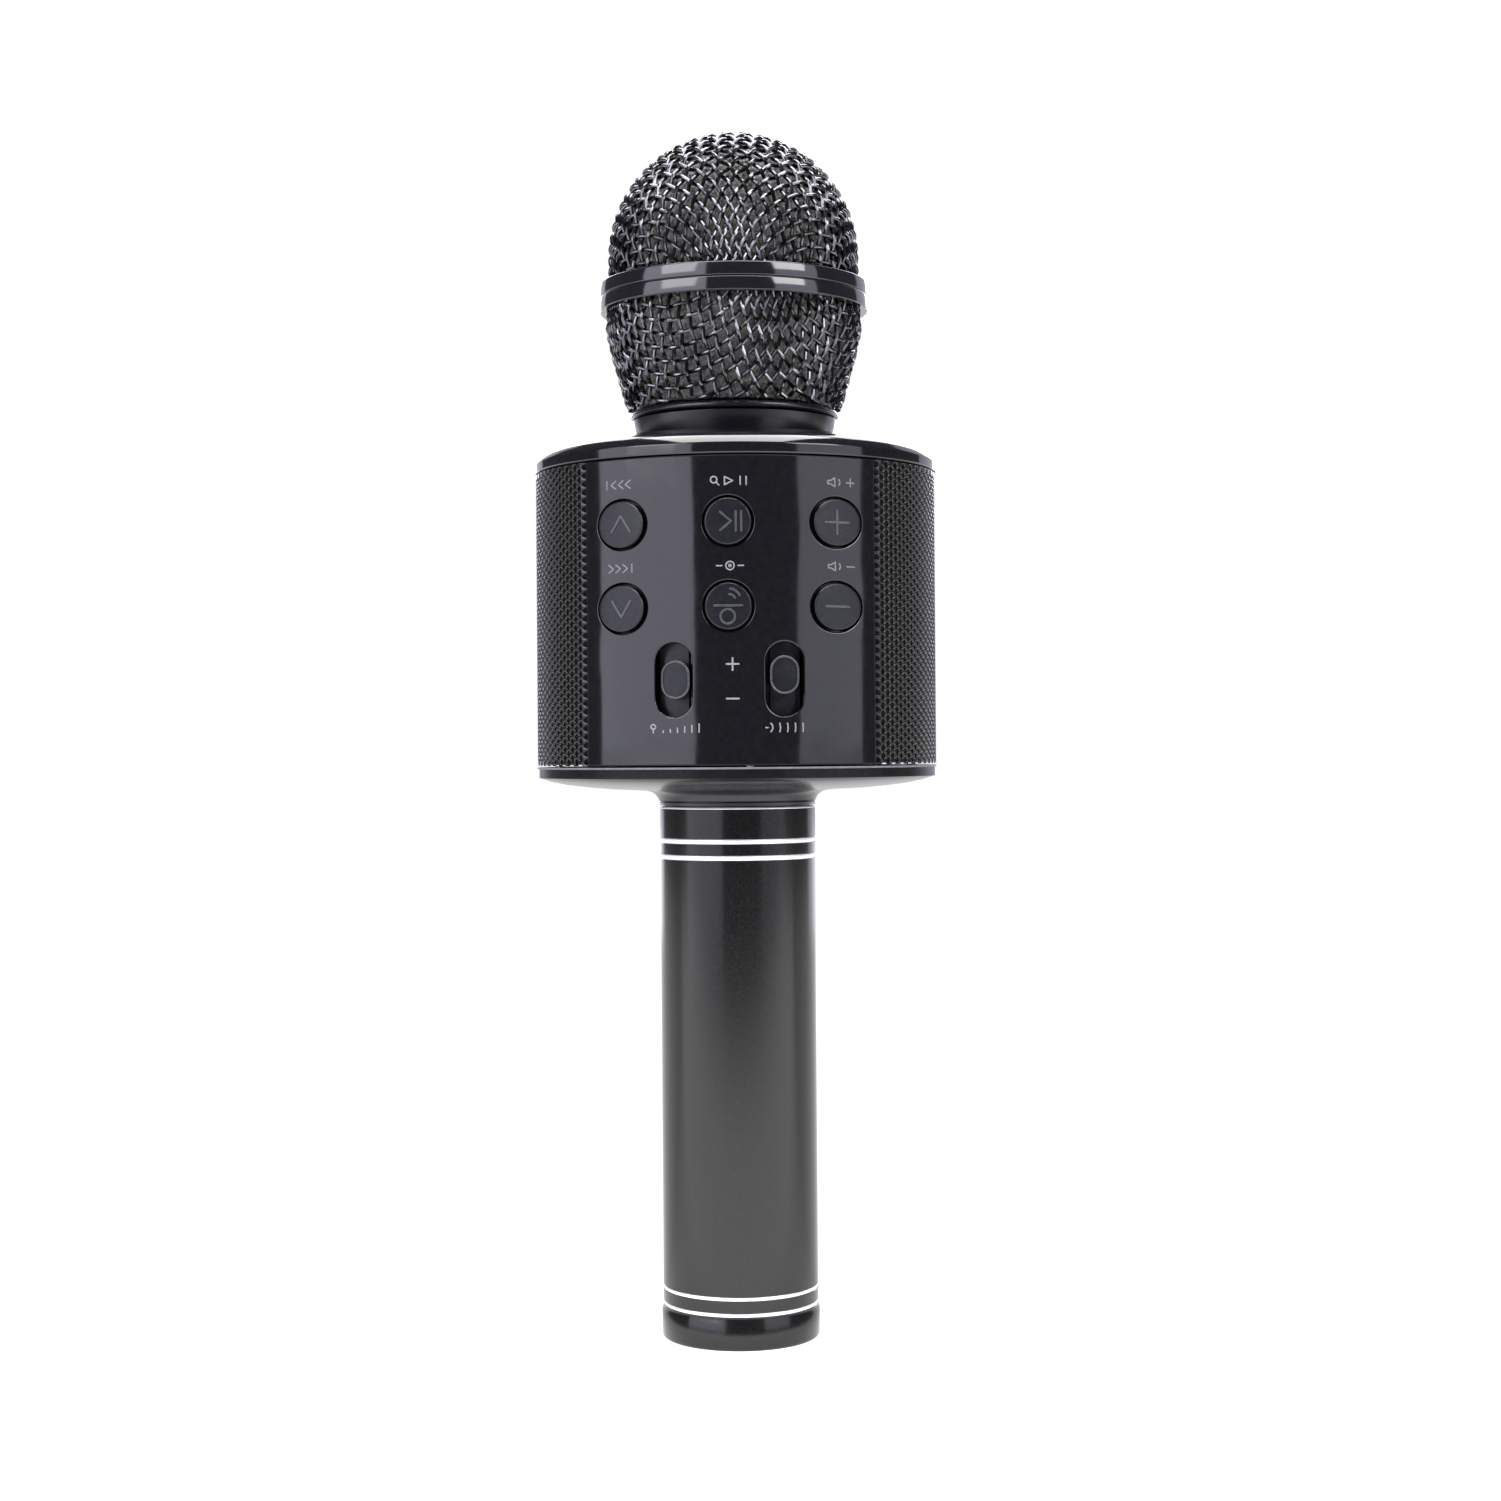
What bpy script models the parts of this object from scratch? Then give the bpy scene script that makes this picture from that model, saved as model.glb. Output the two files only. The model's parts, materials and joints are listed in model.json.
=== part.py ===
"""Karaoke microphone: a wire-mesh head on a round speaker housing, on a tube handle.

Lengths in this file are millimetres; MM turns them into metres where a mesh is made. +Z runs up the
handle from the centre of its lower end, the control panel faces -Y, and azimuths are measured in
degrees from the front (-Y) towards +X.
"""
import math

import bmesh
import bpy

MM = 0.001
GAP = 0.3                       # clearance that neighbouring pieces keep

LARGE_SIDES = 32                # sides of the big turned shells
SMALL_SIDES = 18                # sides of the speakers and other inner turned pieces
BUTTON_SIDES = 16

# Handle
TUBE_R = 15.5
TUBE_BORE = 14.0
TUBE_TOP = 105.9
END_CAP_HEIGHT = 7.5
CELL_R = 9.15
CELL_Z = (20.0, 85.0)
HOLDER_R = 11.2
HOLDER_Z = (14.5, 91.5)

# Speaker housing
BODY_R = 40.0
WALL = 2.0
UNDERSIDE_Z = 109.2
LOWER_EDGE_Z = 113.9
PANEL_Z = (114.2, 171.8)
UPPER_EDGE_Z = 172.1
SHOULDER_Z = 174.2
PANEL_HALF_ANGLE = 43.0
GRILLE_R = 39.8
GRILLE_WALL = 0.8
RIM_INNER = 33.0                # inner edge of the covers' rims and of the chassis rings
CHASSIS_R = 37.6
CHASSIS_RING = 2.2
POST_AZIMUTHS = (52.0, 128.0, 232.0, 308.0)
SCREW_AZIMUTHS = (6.0, 96.0, 186.0, 276.0)
SCREW_CIRCLE = 35.3

# Controls, all cut and guided along Y
BUTTON_COLUMNS = (-20.0, 0.0, 20.0)
BUTTON_ROWS = (159.4, 143.7)
BUTTON_NAMES = (
    ("button_previous", "button_play", "button_volume_up"),
    ("button_next", "button_record", "button_volume_down"),
)
BUTTON_HOLE_R = 4.8
BUTTON_CAP_R = 4.25
BUTTON_PROUD = 0.5
FLANGE_FRONT = BODY_R - WALL - 2 * GAP     # radius of the surface that flanges and plates follow
FLANGE_WALL = 0.8
PLUNGER_END_Y = -29.6
SLIDER_X = 10.3
SLIDER_Z = 130.2
SLIDER_SLOT = (7.0, 13.9)
SLIDER_KNOB = (5.4, 7.2)
SLIDER_PLATE = (5.6, 20.4)
ECHO_REST_RISE = 0.8            # the echo slider rests a little above mid-slot
BOARD_Y = (24.4, 26.0)
BOARD_HALF_WIDTH = 24.5
SLIDE_POT_Z = (120.5, 139.9)
KEY_PAD_Z = (140.5, 166.0)

# Rear panel, from the top down: lens, power switch, card slot, audio jack and charging socket
REAR = 1.0
LENS_Z = 163.0
SWITCH_SLOT_Z = 150.0
SWITCH_REST_Z = 148.2
SWITCH_BODY_Z = (144.0, 156.0)
CARD_SLOT = ((-6.0, 6.0), (135.8, 138.2))
CARD_SOCKET = ((-7.3, 7.3), (135.2, 138.8))
CARD_MOUTH = ((-5.7, 5.7), (136.2, 137.8))
JACK_Z = 130.0
CHARGING_SLOT = ((-4.3, 4.3), (120.2, 123.8))
CHARGING_SOCKET = ((-3.9, 3.9), (120.6, 123.4))
CHARGING_MOUTH_X = (-3.5, 3.5)

# Speakers, one on each side
SPEAKER_X = 32.5
SPEAKER_Z = 143.0

# Head
DOME_R = 25.0
DOME_CENTRE_Z = 215.7
MESH_WALL = 1.0
BAND_Z = (204.6, 210.2)
BAND_R = 26.3
HEAD_SEAM_Z = 207.4
BOWL = ((21.3, 184.9), (22.0, 187.5), (22.8, 191.3), (24.1, 196.3), (25.2, 201.0), (25.05, 204.2))
FOAM_WALL = 4.0

LOOKS = {
    "gloss_black": ((0.012, 0.012, 0.015), 0.08, 0.0),
    "gloss_grey": ((0.045, 0.045, 0.055), 0.15, 0.0),
    "satin_black": ((0.015, 0.015, 0.017), 0.35, 0.0),
    "handle_black": ((0.02, 0.02, 0.022), 0.3, 0.6),
    "dark_wire": ((0.09, 0.09, 0.10), 0.2, 1.0),
    "perforated_black": ((0.02, 0.02, 0.021), 0.35, 0.7),
    "foam": ((0.015, 0.014, 0.013), 0.95, 0.0),
    "inner_plastic": ((0.05, 0.05, 0.05), 0.6, 0.0),
    "rubber": ((0.03, 0.03, 0.03), 0.8, 0.0),
    "circuit_green": ((0.01, 0.12, 0.04), 0.4, 0.0),
    "plated": ((0.6, 0.6, 0.6), 0.25, 1.0),
    "magnet_grey": ((0.08, 0.08, 0.085), 0.5, 0.6),
    "paper_black": ((0.02, 0.02, 0.02), 0.9, 0.0),
    "copper": ((0.7, 0.3, 0.15), 0.3, 1.0),
    "cell_wrap": ((0.05, 0.15, 0.45), 0.4, 0.0),
    "lens_red": ((0.6, 0.05, 0.05), 0.1, 0.0),
}


def clear_scene():
    for obj in list(bpy.data.objects):
        bpy.data.objects.remove(obj, do_unlink=True)


def give_look(obj, look):
    """Each sub-part has a material of its own, named after it."""
    colour, roughness, metallic = LOOKS[look]
    mat = bpy.data.materials.new(obj.name)
    mat.use_nodes = True
    shader = mat.node_tree.nodes["Principled BSDF"]
    shader.inputs["Base Color"].default_value = (*colour, 1.0)
    shader.inputs["Roughness"].default_value = roughness
    shader.inputs["Metallic"].default_value = metallic
    obj.data.materials.append(mat)


def skin(name, rings, look=None, wrap=False, origin=(0.0, 0.0, 0.0)):
    """Skin a row of rings into one closed body.

    A ring is a closed loop of points, and a ring of one point is a pole. With wrap the last ring
    joins the first; otherwise an end ring of several points is closed by a flat face.
    """
    points = []
    indexed = []
    for ring in rings:
        indexed.append(list(range(len(points), len(points) + len(ring))))
        points.extend(ring)
    faces = []
    pairs = list(zip(indexed, indexed[1:]))
    if wrap:
        pairs.append((indexed[-1], indexed[0]))
    for lower, upper in pairs:
        count = max(len(lower), len(upper))
        if count == 1:
            continue
        for k in range(count):
            after = (k + 1) % count
            corners = []
            for ring, index in ((lower, k), (lower, after), (upper, after), (upper, k)):
                corner = ring[index % len(ring)]
                if corner not in corners:
                    corners.append(corner)
            faces.append(corners)
    if not wrap:
        faces.extend(ring for ring in (indexed[0], indexed[-1]) if len(ring) > 1)
    mesh = bpy.data.meshes.new(name)
    local = [[(value - start) * MM for value, start in zip(point, origin)] for point in points]
    mesh.from_pydata(local, [], faces)
    bm = bmesh.new()
    bm.from_mesh(mesh)
    bmesh.ops.recalc_face_normals(bm, faces=bm.faces)
    bm.to_mesh(mesh)
    bm.free()
    mesh.shade_smooth()
    mesh.set_sharp_from_angle(angle=math.radians(30.0))
    obj = bpy.data.objects.new(name, mesh)
    obj.location = [value * MM for value in origin]
    bpy.context.scene.collection.objects.link(obj)
    if look:
        give_look(obj, look)
    return obj


def turned(name, outline, look=None, sides=LARGE_SIDES, origin=(0.0, 0.0, 0.0)):
    """Turn a (radius, height) outline once round Z; it is closed by its own last side or the axis."""
    rings = []
    for radius, height in outline:
        if radius == 0.0:
            rings.append([(origin[0], origin[1], height)])
            continue
        ring = []
        for k in range(sides):
            angle = 2.0 * math.pi * k / sides
            ring.append((origin[0] + radius * math.sin(angle), origin[1] - radius * math.cos(angle), height))
        rings.append(ring)
    return skin(name, rings, look, wrap=outline[0][0] > 0.0, origin=origin)


def swept(name, outline, look, azimuths, steps):
    """Sweep a closed (radius, height) outline between two azimuths, with flat ends."""
    first, last = azimuths
    rings = []
    for k in range(steps + 1):
        angle = math.radians(first + (last - first) * k / steps)
        rings.append([(r * math.sin(angle), -r * math.cos(angle), z) for r, z in outline])
    return skin(name, rings, look)


def block(name, x_range, y_range, z_range, look=None):
    """A box between three pairs of coordinates."""
    (left, right), (front, back) = x_range, y_range
    corners = [(left, front), (right, front), (right, back), (left, back)]
    rings = [[(x, y, z) for x, y in corners] for z in z_range]
    return skin(name, rings, look)


def elliptic_arc(centre, half_axes, start, end, steps):
    """Points of an arc in the (radius, height) plane; 0 degrees is outwards and 90 degrees up."""
    points = []
    for k in range(steps + 1):
        angle = math.radians(start + (end - start) * k / steps)
        radius = centre[0] + half_axes[0] * math.cos(angle)
        points.append((radius, centre[1] + half_axes[1] * math.sin(angle)))
    return points


def disc_outline(x, z, radius, sides):
    """A round outline seen from the front, as (x, z) points."""
    angles = [2.0 * math.pi * k / sides for k in range(sides)]
    return [(x + radius * math.sin(angle), z + radius * math.cos(angle)) for angle in angles]


def stadium_outline(x, z, width, height, steps=6):
    """A slot with round ends seen from the front, as (x, z) points."""
    radius = width / 2.0
    rise = height / 2.0 - radius
    points = []
    for end_z, start in ((z + rise, 0.0), (z - rise, 180.0)):
        for k in range(steps + 1):
            angle = math.radians(start + 180.0 * k / steps)
            points.append((x + radius * math.cos(angle), end_z + radius * math.sin(angle)))
    return points


def on_barrel(outline, radius, side=-1.0):
    """Lay an (x, z) outline on the barrel of the given radius, at the front or (side=1) the back."""
    return [(x, side * math.sqrt(radius * radius - x * x), z) for x, z in outline]


def on_plane(outline, y):
    return [(x, y, z) for x, z in outline]


def cut_away(target, name, rings, wrap=False):
    """Cut a skinned shape out of a sub-part."""
    cutter = skin(name, rings, wrap=wrap)
    cutter.hide_render = True
    cutter.display_type = "WIRE"
    modifier = target.modifiers.new(name, "BOOLEAN")
    modifier.operation = "DIFFERENCE"
    modifier.solver = "EXACT"
    modifier.object = cutter


def fuse(target, shape):
    """Join a helper shape onto a sub-part as one body."""
    shape.hide_render = True
    shape.display_type = "WIRE"
    modifier = target.modifiers.new(shape.name, "BOOLEAN")
    modifier.operation = "UNION"
    modifier.solver = "EXACT"
    modifier.object = shape


def box_rings(x_range, y_range, z_range):
    """Two rectangular rings, one at each end of the y range, for a cut along Y."""
    (left, right), (low, high) = x_range, z_range
    outline = [(left, low), (right, low), (right, high), (left, high)]
    return [on_plane(outline, y) for y in y_range]


def make_handle():
    turned("handle_tube", [
        (TUBE_BORE, 0.0), (TUBE_R - 0.5, 0.0), (TUBE_R, 0.5), (TUBE_R, TUBE_TOP - 0.3),
        (TUBE_R - 0.3, TUBE_TOP), (TUBE_BORE, TUBE_TOP)], "handle_black")
    plug_r = TUBE_BORE - GAP
    turned("end_cap", [
        (0.0, 0.0), (plug_r, 0.0), (plug_r, END_CAP_HEIGHT), (plug_r - 1.2, END_CAP_HEIGHT),
        (plug_r - 1.2, 1.8), (0.0, 1.8)], "satin_black")


def make_battery():
    bottom, top = CELL_Z
    turned("battery_cell", [
        (0.0, bottom), (CELL_R - 0.5, bottom), (CELL_R, bottom + 0.5), (CELL_R, top - 0.5),
        (CELL_R - 0.5, top), (2.75, top), (2.75, top + 1.0), (0.0, top + 1.0)], "cell_wrap", SMALL_SIDES)
    # A half-round trough behind the cell with a half wall at each end
    floor, roof = HOLDER_Z
    trough_r = CELL_R + 0.35
    trough = [(trough_r, floor), (HOLDER_R, floor), (HOLDER_R, roof), (trough_r, roof)]
    holder = swept("battery_holder", trough, "inner_plastic", (90.0, 270.0), 10)
    for name, low in (("holder_floor", floor + 0.3), ("holder_roof", roof - 1.5)):
        wall = [(1.0, low), (trough_r + 0.6, low), (trough_r + 0.6, low + 1.2), (1.0, low + 1.2)]
        fuse(holder, swept(name, wall, None, (95.0, 265.0), 7))
    turned("battery_contact", [
        (0.0, 86.3), (1.5, 86.3), (1.5, 89.0), (5.0, 89.0), (5.0, 89.6), (0.0, 89.6)], "plated", 12)
    make_battery_spring()


def make_battery_spring():
    """The negative contact: a conical coil of wire that stands on the holder's lower wall."""
    turns, per_turn, wire = 3, 10, 0.35
    low, high = HOLDER_Z[0] + 1.5 + GAP + wire, CELL_Z[0] - GAP - wire
    curve = bpy.data.curves.new("battery_spring", "CURVE")
    curve.dimensions = "3D"
    curve.bevel_depth = wire * MM
    curve.bevel_resolution = 1
    curve.use_fill_caps = True
    spline = curve.splines.new("POLY")
    count = turns * per_turn
    spline.points.add(count)
    for k in range(count + 1):
        share = k / count
        angle = 2.0 * math.pi * k / per_turn
        radius = 6.0 - 2.5 * share
        place = (radius * math.cos(angle), radius * math.sin(angle), low + (high - low) * share)
        spline.points[k].co = (*[value * MM for value in place], 1.0)
    obj = bpy.data.objects.new("battery_spring", curve)
    bpy.context.scene.collection.objects.link(obj)
    give_look(obj, "plated")


def make_bottom_cover():
    """The flared collar, the round underside and the spigot that plugs into the handle tube."""
    edge = elliptic_arc((31.0, LOWER_EDGE_Z - WALL), (BODY_R - 31.0, LOWER_EDGE_Z - WALL - UNDERSIDE_Z),
                        -90.0, 0.0, 5)
    spigot_r = TUBE_BORE - GAP
    cover = turned("bottom_cover", [
        (11.6, 92.0), (spigot_r, 92.0), (spigot_r, TUBE_TOP + GAP), (14.7, TUBE_TOP + GAP), (14.7, 106.9),
        (15.6, 106.9), (15.8, 107.6), (16.5, 108.6), (18.8, UNDERSIDE_Z), *edge,
        (BODY_R, LOWER_EDGE_Z), (RIM_INNER, LOWER_EDGE_Z), (RIM_INNER, UNDERSIDE_Z + 2.1),
        (11.6, UNDERSIDE_Z + 2.1)], "satin_black")
    for number, azimuth in enumerate(SCREW_AZIMUTHS):
        cut_screw_hole(cover, f"cover_hole_{number}", azimuth, (LOWER_EDGE_Z - 3.3, LOWER_EDGE_Z + 1.0))


def cut_screw_hole(target, name, azimuth, z_range):
    angle = math.radians(azimuth)
    x, y = SCREW_CIRCLE * math.sin(angle), -SCREW_CIRCLE * math.cos(angle)
    outline = disc_outline(x, y, 1.4, 8)
    cut_away(target, name, [[(px, py, z) for px, py in outline] for z in z_range])


def make_top_cover():
    shoulder = elliptic_arc((BODY_R - 5.0, SHOULDER_Z), (5.0, 2.3), 0.0, 90.0, 4)
    turned("top_cover", [
        (RIM_INNER, UPPER_EDGE_Z), (BODY_R, UPPER_EDGE_Z), *shoulder, (28.0, 177.1), (19.9, 177.7),
        (17.0, 177.7), (17.0, 175.6), (RIM_INNER, 174.4)], "gloss_black")
    turned("neck_collar", [
        (13.0, 174.8), (16.7, 174.8), (16.7, 178.0), (19.4, 178.0), (19.5, 179.8), (20.4, 182.9),
        (18.0, 182.9), (18.0, 178.9), (13.0, 178.9)], "satin_black")


def panel_outline(outer_r, wall):
    low, high = PANEL_Z
    return [(outer_r - wall, low), (outer_r, low), (outer_r, high), (outer_r - wall, high)]


def make_front_panel():
    panel = swept("front_panel", panel_outline(BODY_R, WALL), "gloss_black",
                  (-PANEL_HALF_ANGLE, PANEL_HALF_ANGLE), 12)
    y_range = (-BODY_R - 2.0, -20.0)
    for row, z in enumerate(BUTTON_ROWS):
        for column, x in enumerate(BUTTON_COLUMNS):
            outline = disc_outline(x, z, BUTTON_HOLE_R, BUTTON_SIDES)
            cut_away(panel, f"button_hole_{row}{column}", [on_plane(outline, y) for y in y_range])
    for x in (-SLIDER_X, SLIDER_X):
        outline = stadium_outline(x, SLIDER_Z, *SLIDER_SLOT)
        cut_away(panel, f"slider_hole_{int(x)}", [on_plane(outline, y) for y in y_range])


def make_rear_panel():
    panel = swept("rear_panel", panel_outline(BODY_R, WALL), "gloss_black",
                  (180.0 - PANEL_HALF_ANGLE, 180.0 + PANEL_HALF_ANGLE), 12)
    openings = {
        "lens_hole": disc_outline(0.0, LENS_Z, 1.4, 10),
        "switch_hole": stadium_outline(0.0, SWITCH_SLOT_Z, 3.6, 7.6, 4),
        "jack_hole": disc_outline(0.0, JACK_Z, 1.9, 10),
    }
    y_range = (20.0, BODY_R + 2.0)
    for name, outline in openings.items():
        cut_away(panel, name, [on_plane(outline, y) for y in y_range])
    for name, (x_range, z_range) in (("card_hole", CARD_SLOT), ("charging_hole", CHARGING_SLOT)):
        cut_away(panel, name, box_rings(x_range, y_range, z_range))


def make_side_grilles():
    edge = PANEL_HALF_ANGLE + 0.5
    sides = (("right_grille", edge, 180.0 - edge), ("left_grille", 180.0 + edge, 360.0 - edge))
    for name, first, last in sides:
        swept(name, panel_outline(GRILLE_R, GRILLE_WALL), "perforated_black", (first, last), 12)


def make_chassis():
    """Two rings joined by four posts; the boards stand between the rings."""
    low, high = PANEL_Z
    chassis = turned("chassis", [
        (RIM_INNER, low), (CHASSIS_R, low), (CHASSIS_R, low + CHASSIS_RING),
        (RIM_INNER, low + CHASSIS_RING)], "inner_plastic")
    fuse(chassis, turned("upper_ring", [
        (RIM_INNER, high - CHASSIS_RING), (CHASSIS_R, high - CHASSIS_RING), (CHASSIS_R, high),
        (RIM_INNER, high)]))
    for number, azimuth in enumerate(POST_AZIMUTHS):
        angle = math.radians(azimuth)
        outward = (math.sin(angle), -math.cos(angle))
        along = (math.cos(angle), math.sin(angle))
        corners = []
        for radius, offset in ((33.9, -2.0), (36.7, -2.0), (36.7, 2.0), (33.9, 2.0)):
            corners.append([radius * outward[i] + offset * along[i] for i in range(2)])
        ends = (low + CHASSIS_RING / 2.0, high - CHASSIS_RING / 2.0)
        fuse(chassis, skin(f"post_{number}", [[(x, y, z) for x, y in corners] for z in ends]))
    for number, azimuth in enumerate(SCREW_AZIMUTHS):
        cut_screw_hole(chassis, f"chassis_hole_{number}", azimuth, (low - 1.0, low + CHASSIS_RING + 1.0))


def make_screws():
    """Pan-head screws that hold the chassis on the bottom cover's rim."""
    seat = PANEL_Z[0] + CHASSIS_RING + GAP
    for number, azimuth in enumerate(SCREW_AZIMUTHS):
        angle = math.radians(azimuth)
        place = (SCREW_CIRCLE * math.sin(angle), -SCREW_CIRCLE * math.cos(angle), seat)
        turned(f"chassis_screw_{number + 1}", [
            (0.0, seat - 5.4), (1.0, seat - 5.4), (1.0, seat), (2.0, seat), (2.0, seat + 0.8),
            (1.4, seat + 1.3), (0.0, seat + 1.3)], "plated", 8, origin=place)


def make_buttons():
    """Six caps; each face and rear flange follow the panel's curve, and a plunger reaches the key pad."""
    back = FLANGE_FRONT - FLANGE_WALL
    for names, z in zip(BUTTON_NAMES, BUTTON_ROWS):
        for name, x in zip(names, BUTTON_COLUMNS):
            face_r = BODY_R + BUTTON_PROUD
            cap = disc_outline(x, z, BUTTON_CAP_R, BUTTON_SIDES)
            flange = disc_outline(x, z, BUTTON_CAP_R + 0.85, BUTTON_SIDES)
            plunger = disc_outline(x, z, 1.6, BUTTON_SIDES)
            rings = [
                on_barrel([(x, z)], face_r), on_barrel(cap, face_r), on_barrel(cap, FLANGE_FRONT),
                on_barrel(flange, FLANGE_FRONT), on_barrel(flange, back), on_barrel(plunger, back),
                on_plane(plunger, PLUNGER_END_Y), [(x, PLUNGER_END_Y, z)]]
            skin(name, rings, "gloss_grey", origin=(x, -face_r, z))


def make_slider(name, x, z):
    """A knob on a long plate that hides the slot, with a blade that reaches into the slide pot."""
    back = FLANGE_FRONT - FLANGE_WALL
    knob = stadium_outline(x, z, *SLIDER_KNOB)
    plate = stadium_outline(x, z, *SLIDER_PLATE)
    blade = stadium_outline(x, z, 1.4, 2.6)
    rings = [
        on_barrel(knob, BODY_R + 0.2), on_barrel(knob, FLANGE_FRONT), on_barrel(plate, FLANGE_FRONT),
        on_barrel(plate, back), on_barrel(blade, back), on_plane(blade, -28.6)]
    skin(name, rings, "gloss_grey", origin=(x, -BODY_R, z))


def make_slide_pot(name, x):
    pot = block(name, (x - 4.0, x + 4.0), (-31.0, -BOARD_Y[1] - GAP), SLIDE_POT_Z, "plated")
    slot = stadium_outline(x, SLIDER_Z, 2.2, 10.0, 4)
    cut_away(pot, name + "_slot", [on_plane(slot, y) for y in (-32.0, -28.0)])


def make_front_controls():
    make_buttons()
    make_slider("slider_mic_volume", -SLIDER_X, SLIDER_Z)
    make_slider("slider_echo", SLIDER_X, SLIDER_Z + ECHO_REST_RISE)
    make_slide_pot("slide_pot_left", -SLIDER_X)
    make_slide_pot("slide_pot_right", SLIDER_X)
    z_range = (PANEL_Z[0] + CHASSIS_RING + GAP, PANEL_Z[1] - CHASSIS_RING - GAP)
    y_range = (-BOARD_Y[1], -BOARD_Y[0])
    block("key_board", (-BOARD_HALF_WIDTH, BOARD_HALF_WIDTH), y_range, z_range, "circuit_green")
    pad_front, dome_tip = -27.3, -28.6
    pad = block("key_pad", (-23.0, 23.0), (pad_front, -BOARD_Y[1] - GAP), KEY_PAD_Z, "rubber")
    for row, z in enumerate(BUTTON_ROWS):
        for column, x in enumerate(BUTTON_COLUMNS):
            foot, tip = disc_outline(x, z, 2.6, 8), disc_outline(x, z, 2.0, 8)
            rings = [on_plane(foot, pad_front + 0.5), on_plane(tip, dome_tip)]
            fuse(pad, skin(f"dome_{row}{column}", rings))


def make_power_switch():
    """A small knob on a plate that hides its slot, with a blade that reaches into the switch body."""
    back = FLANGE_FRONT - FLANGE_WALL
    knob = stadium_outline(0.0, SWITCH_REST_Z, 3.0, 3.4, 3)
    plate = stadium_outline(0.0, SWITCH_REST_Z, 4.4, 12.0, 3)
    blade = stadium_outline(0.0, SWITCH_REST_Z, 1.0, 1.6, 3)
    skin("power_switch_knob", [
        on_barrel(knob, BODY_R + BUTTON_PROUD, REAR), on_barrel(knob, FLANGE_FRONT, REAR),
        on_barrel(plate, FLANGE_FRONT, REAR), on_barrel(plate, back, REAR), on_barrel(blade, back, REAR),
        on_plane(blade, 31.0)], "satin_black", origin=(0.0, BODY_R, SWITCH_REST_Z))
    switch = block("power_switch_body", (-4.0, 4.0), (BOARD_Y[1] + GAP, 33.0), SWITCH_BODY_Z, "plated")
    slot = stadium_outline(0.0, SWITCH_SLOT_Z, 1.8, 7.0, 3)
    cut_away(switch, "switch_slot", [on_plane(slot, y) for y in (30.0, 34.0)])


def make_status_lens():
    back = FLANGE_FRONT - FLANGE_WALL
    lens = disc_outline(0.0, LENS_Z, 1.1, 10)
    flange = disc_outline(0.0, LENS_Z, 2.0, 10)
    skin("status_lens", [
        on_barrel(lens, BODY_R - 0.1, REAR), on_barrel(lens, FLANGE_FRONT, REAR),
        on_barrel(flange, FLANGE_FRONT, REAR), on_barrel(flange, back, REAR)], "lens_red")


def make_rear_sockets():
    """The card socket, audio jack and charging socket, which stand on the main board."""
    foot = BOARD_Y[1] + GAP
    card_x, card_z = CARD_SOCKET
    card = block("card_socket", card_x, (foot, 36.9), card_z, "plated")
    mouth_x, mouth_z = CARD_MOUTH
    cut_away(card, "card_mouth", box_rings(mouth_x, (27.5, 38.0), mouth_z))
    barrel, bore = disc_outline(0.0, JACK_Z, 3.2, 12), disc_outline(0.0, JACK_Z, 1.75, 10)
    jack = skin("audio_jack", [on_plane(barrel, y) for y in (foot, 37.2)], "rubber")
    cut_away(jack, "jack_bore", [on_plane(bore, y) for y in (28.0, 38.0)])
    charging_x, charging_z = CHARGING_SOCKET
    socket = block("charging_socket", charging_x, (foot, 38.6), charging_z, "plated")
    # The mouth is cut above and below the contact tongue, which stays standing in the middle
    for name, z_range in (("charging_mouth_low", (121.0, 121.6)), ("charging_mouth_high", (122.3, 123.0))):
        cut_away(socket, name, box_rings(CHARGING_MOUTH_X, (32.0, 40.0), z_range))


def make_rear_controls():
    z_range = (PANEL_Z[0] + CHASSIS_RING + GAP, PANEL_Z[1] - CHASSIS_RING - GAP)
    block("main_board", (-BOARD_HALF_WIDTH, BOARD_HALF_WIDTH), BOARD_Y, z_range, "circuit_green")
    make_power_switch()
    make_status_lens()
    make_rear_sockets()


def make_speakers():
    """Two round drivers back to back; each is turned about its own axis and faces sideways."""
    frame = [(18.0, 0.0), (15.8, 0.0), (15.8, -1.4), (11.0, -9.9), (6.9, -9.9), (6.9, -11.0), (12.0, -11.0),
             (16.6, -1.5), (18.0, -1.5)]
    magnet = [(0.0, -19.5), (12.0, -19.5), (12.0, -11.3), (7.3, -11.3), (7.3, -17.5), (5.3, -17.5), (5.3, -11.3),
              (0.0, -11.3)]
    surround = [(14.1, -1.7), (14.1, -1.2), (14.8, -0.5), (15.5, -1.2), (15.5, -1.7)]
    coil = [(6.0, -16.5), (6.6, -16.5), (6.6, -8.3), (6.0, -8.3)]
    cone = [(0.0, -4.9), (3.6, -5.4), (6.2, -7.0), (13.4, -1.1), (13.6, -1.7), (6.6, -7.9), (3.4, -6.2),
            (0.0, -5.6)]
    pieces = (("speaker_frame", frame, "inner_plastic"), ("speaker_magnet", magnet, "magnet_grey"),
              ("speaker_surround", surround, "rubber"), ("voice_coil", coil, "copper"),
              ("speaker_cone", cone, "paper_black"))
    for side, sign in (("right", 1.0), ("left", -1.0)):
        for name, outline, look in pieces:
            obj = turned(f"{side}_{name}", outline, look, SMALL_SIDES)
            obj.location = (sign * SPEAKER_X * MM, 0.0, SPEAKER_Z * MM)
            obj.rotation_euler = (0.0, sign * math.pi / 2.0, 0.0)


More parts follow.
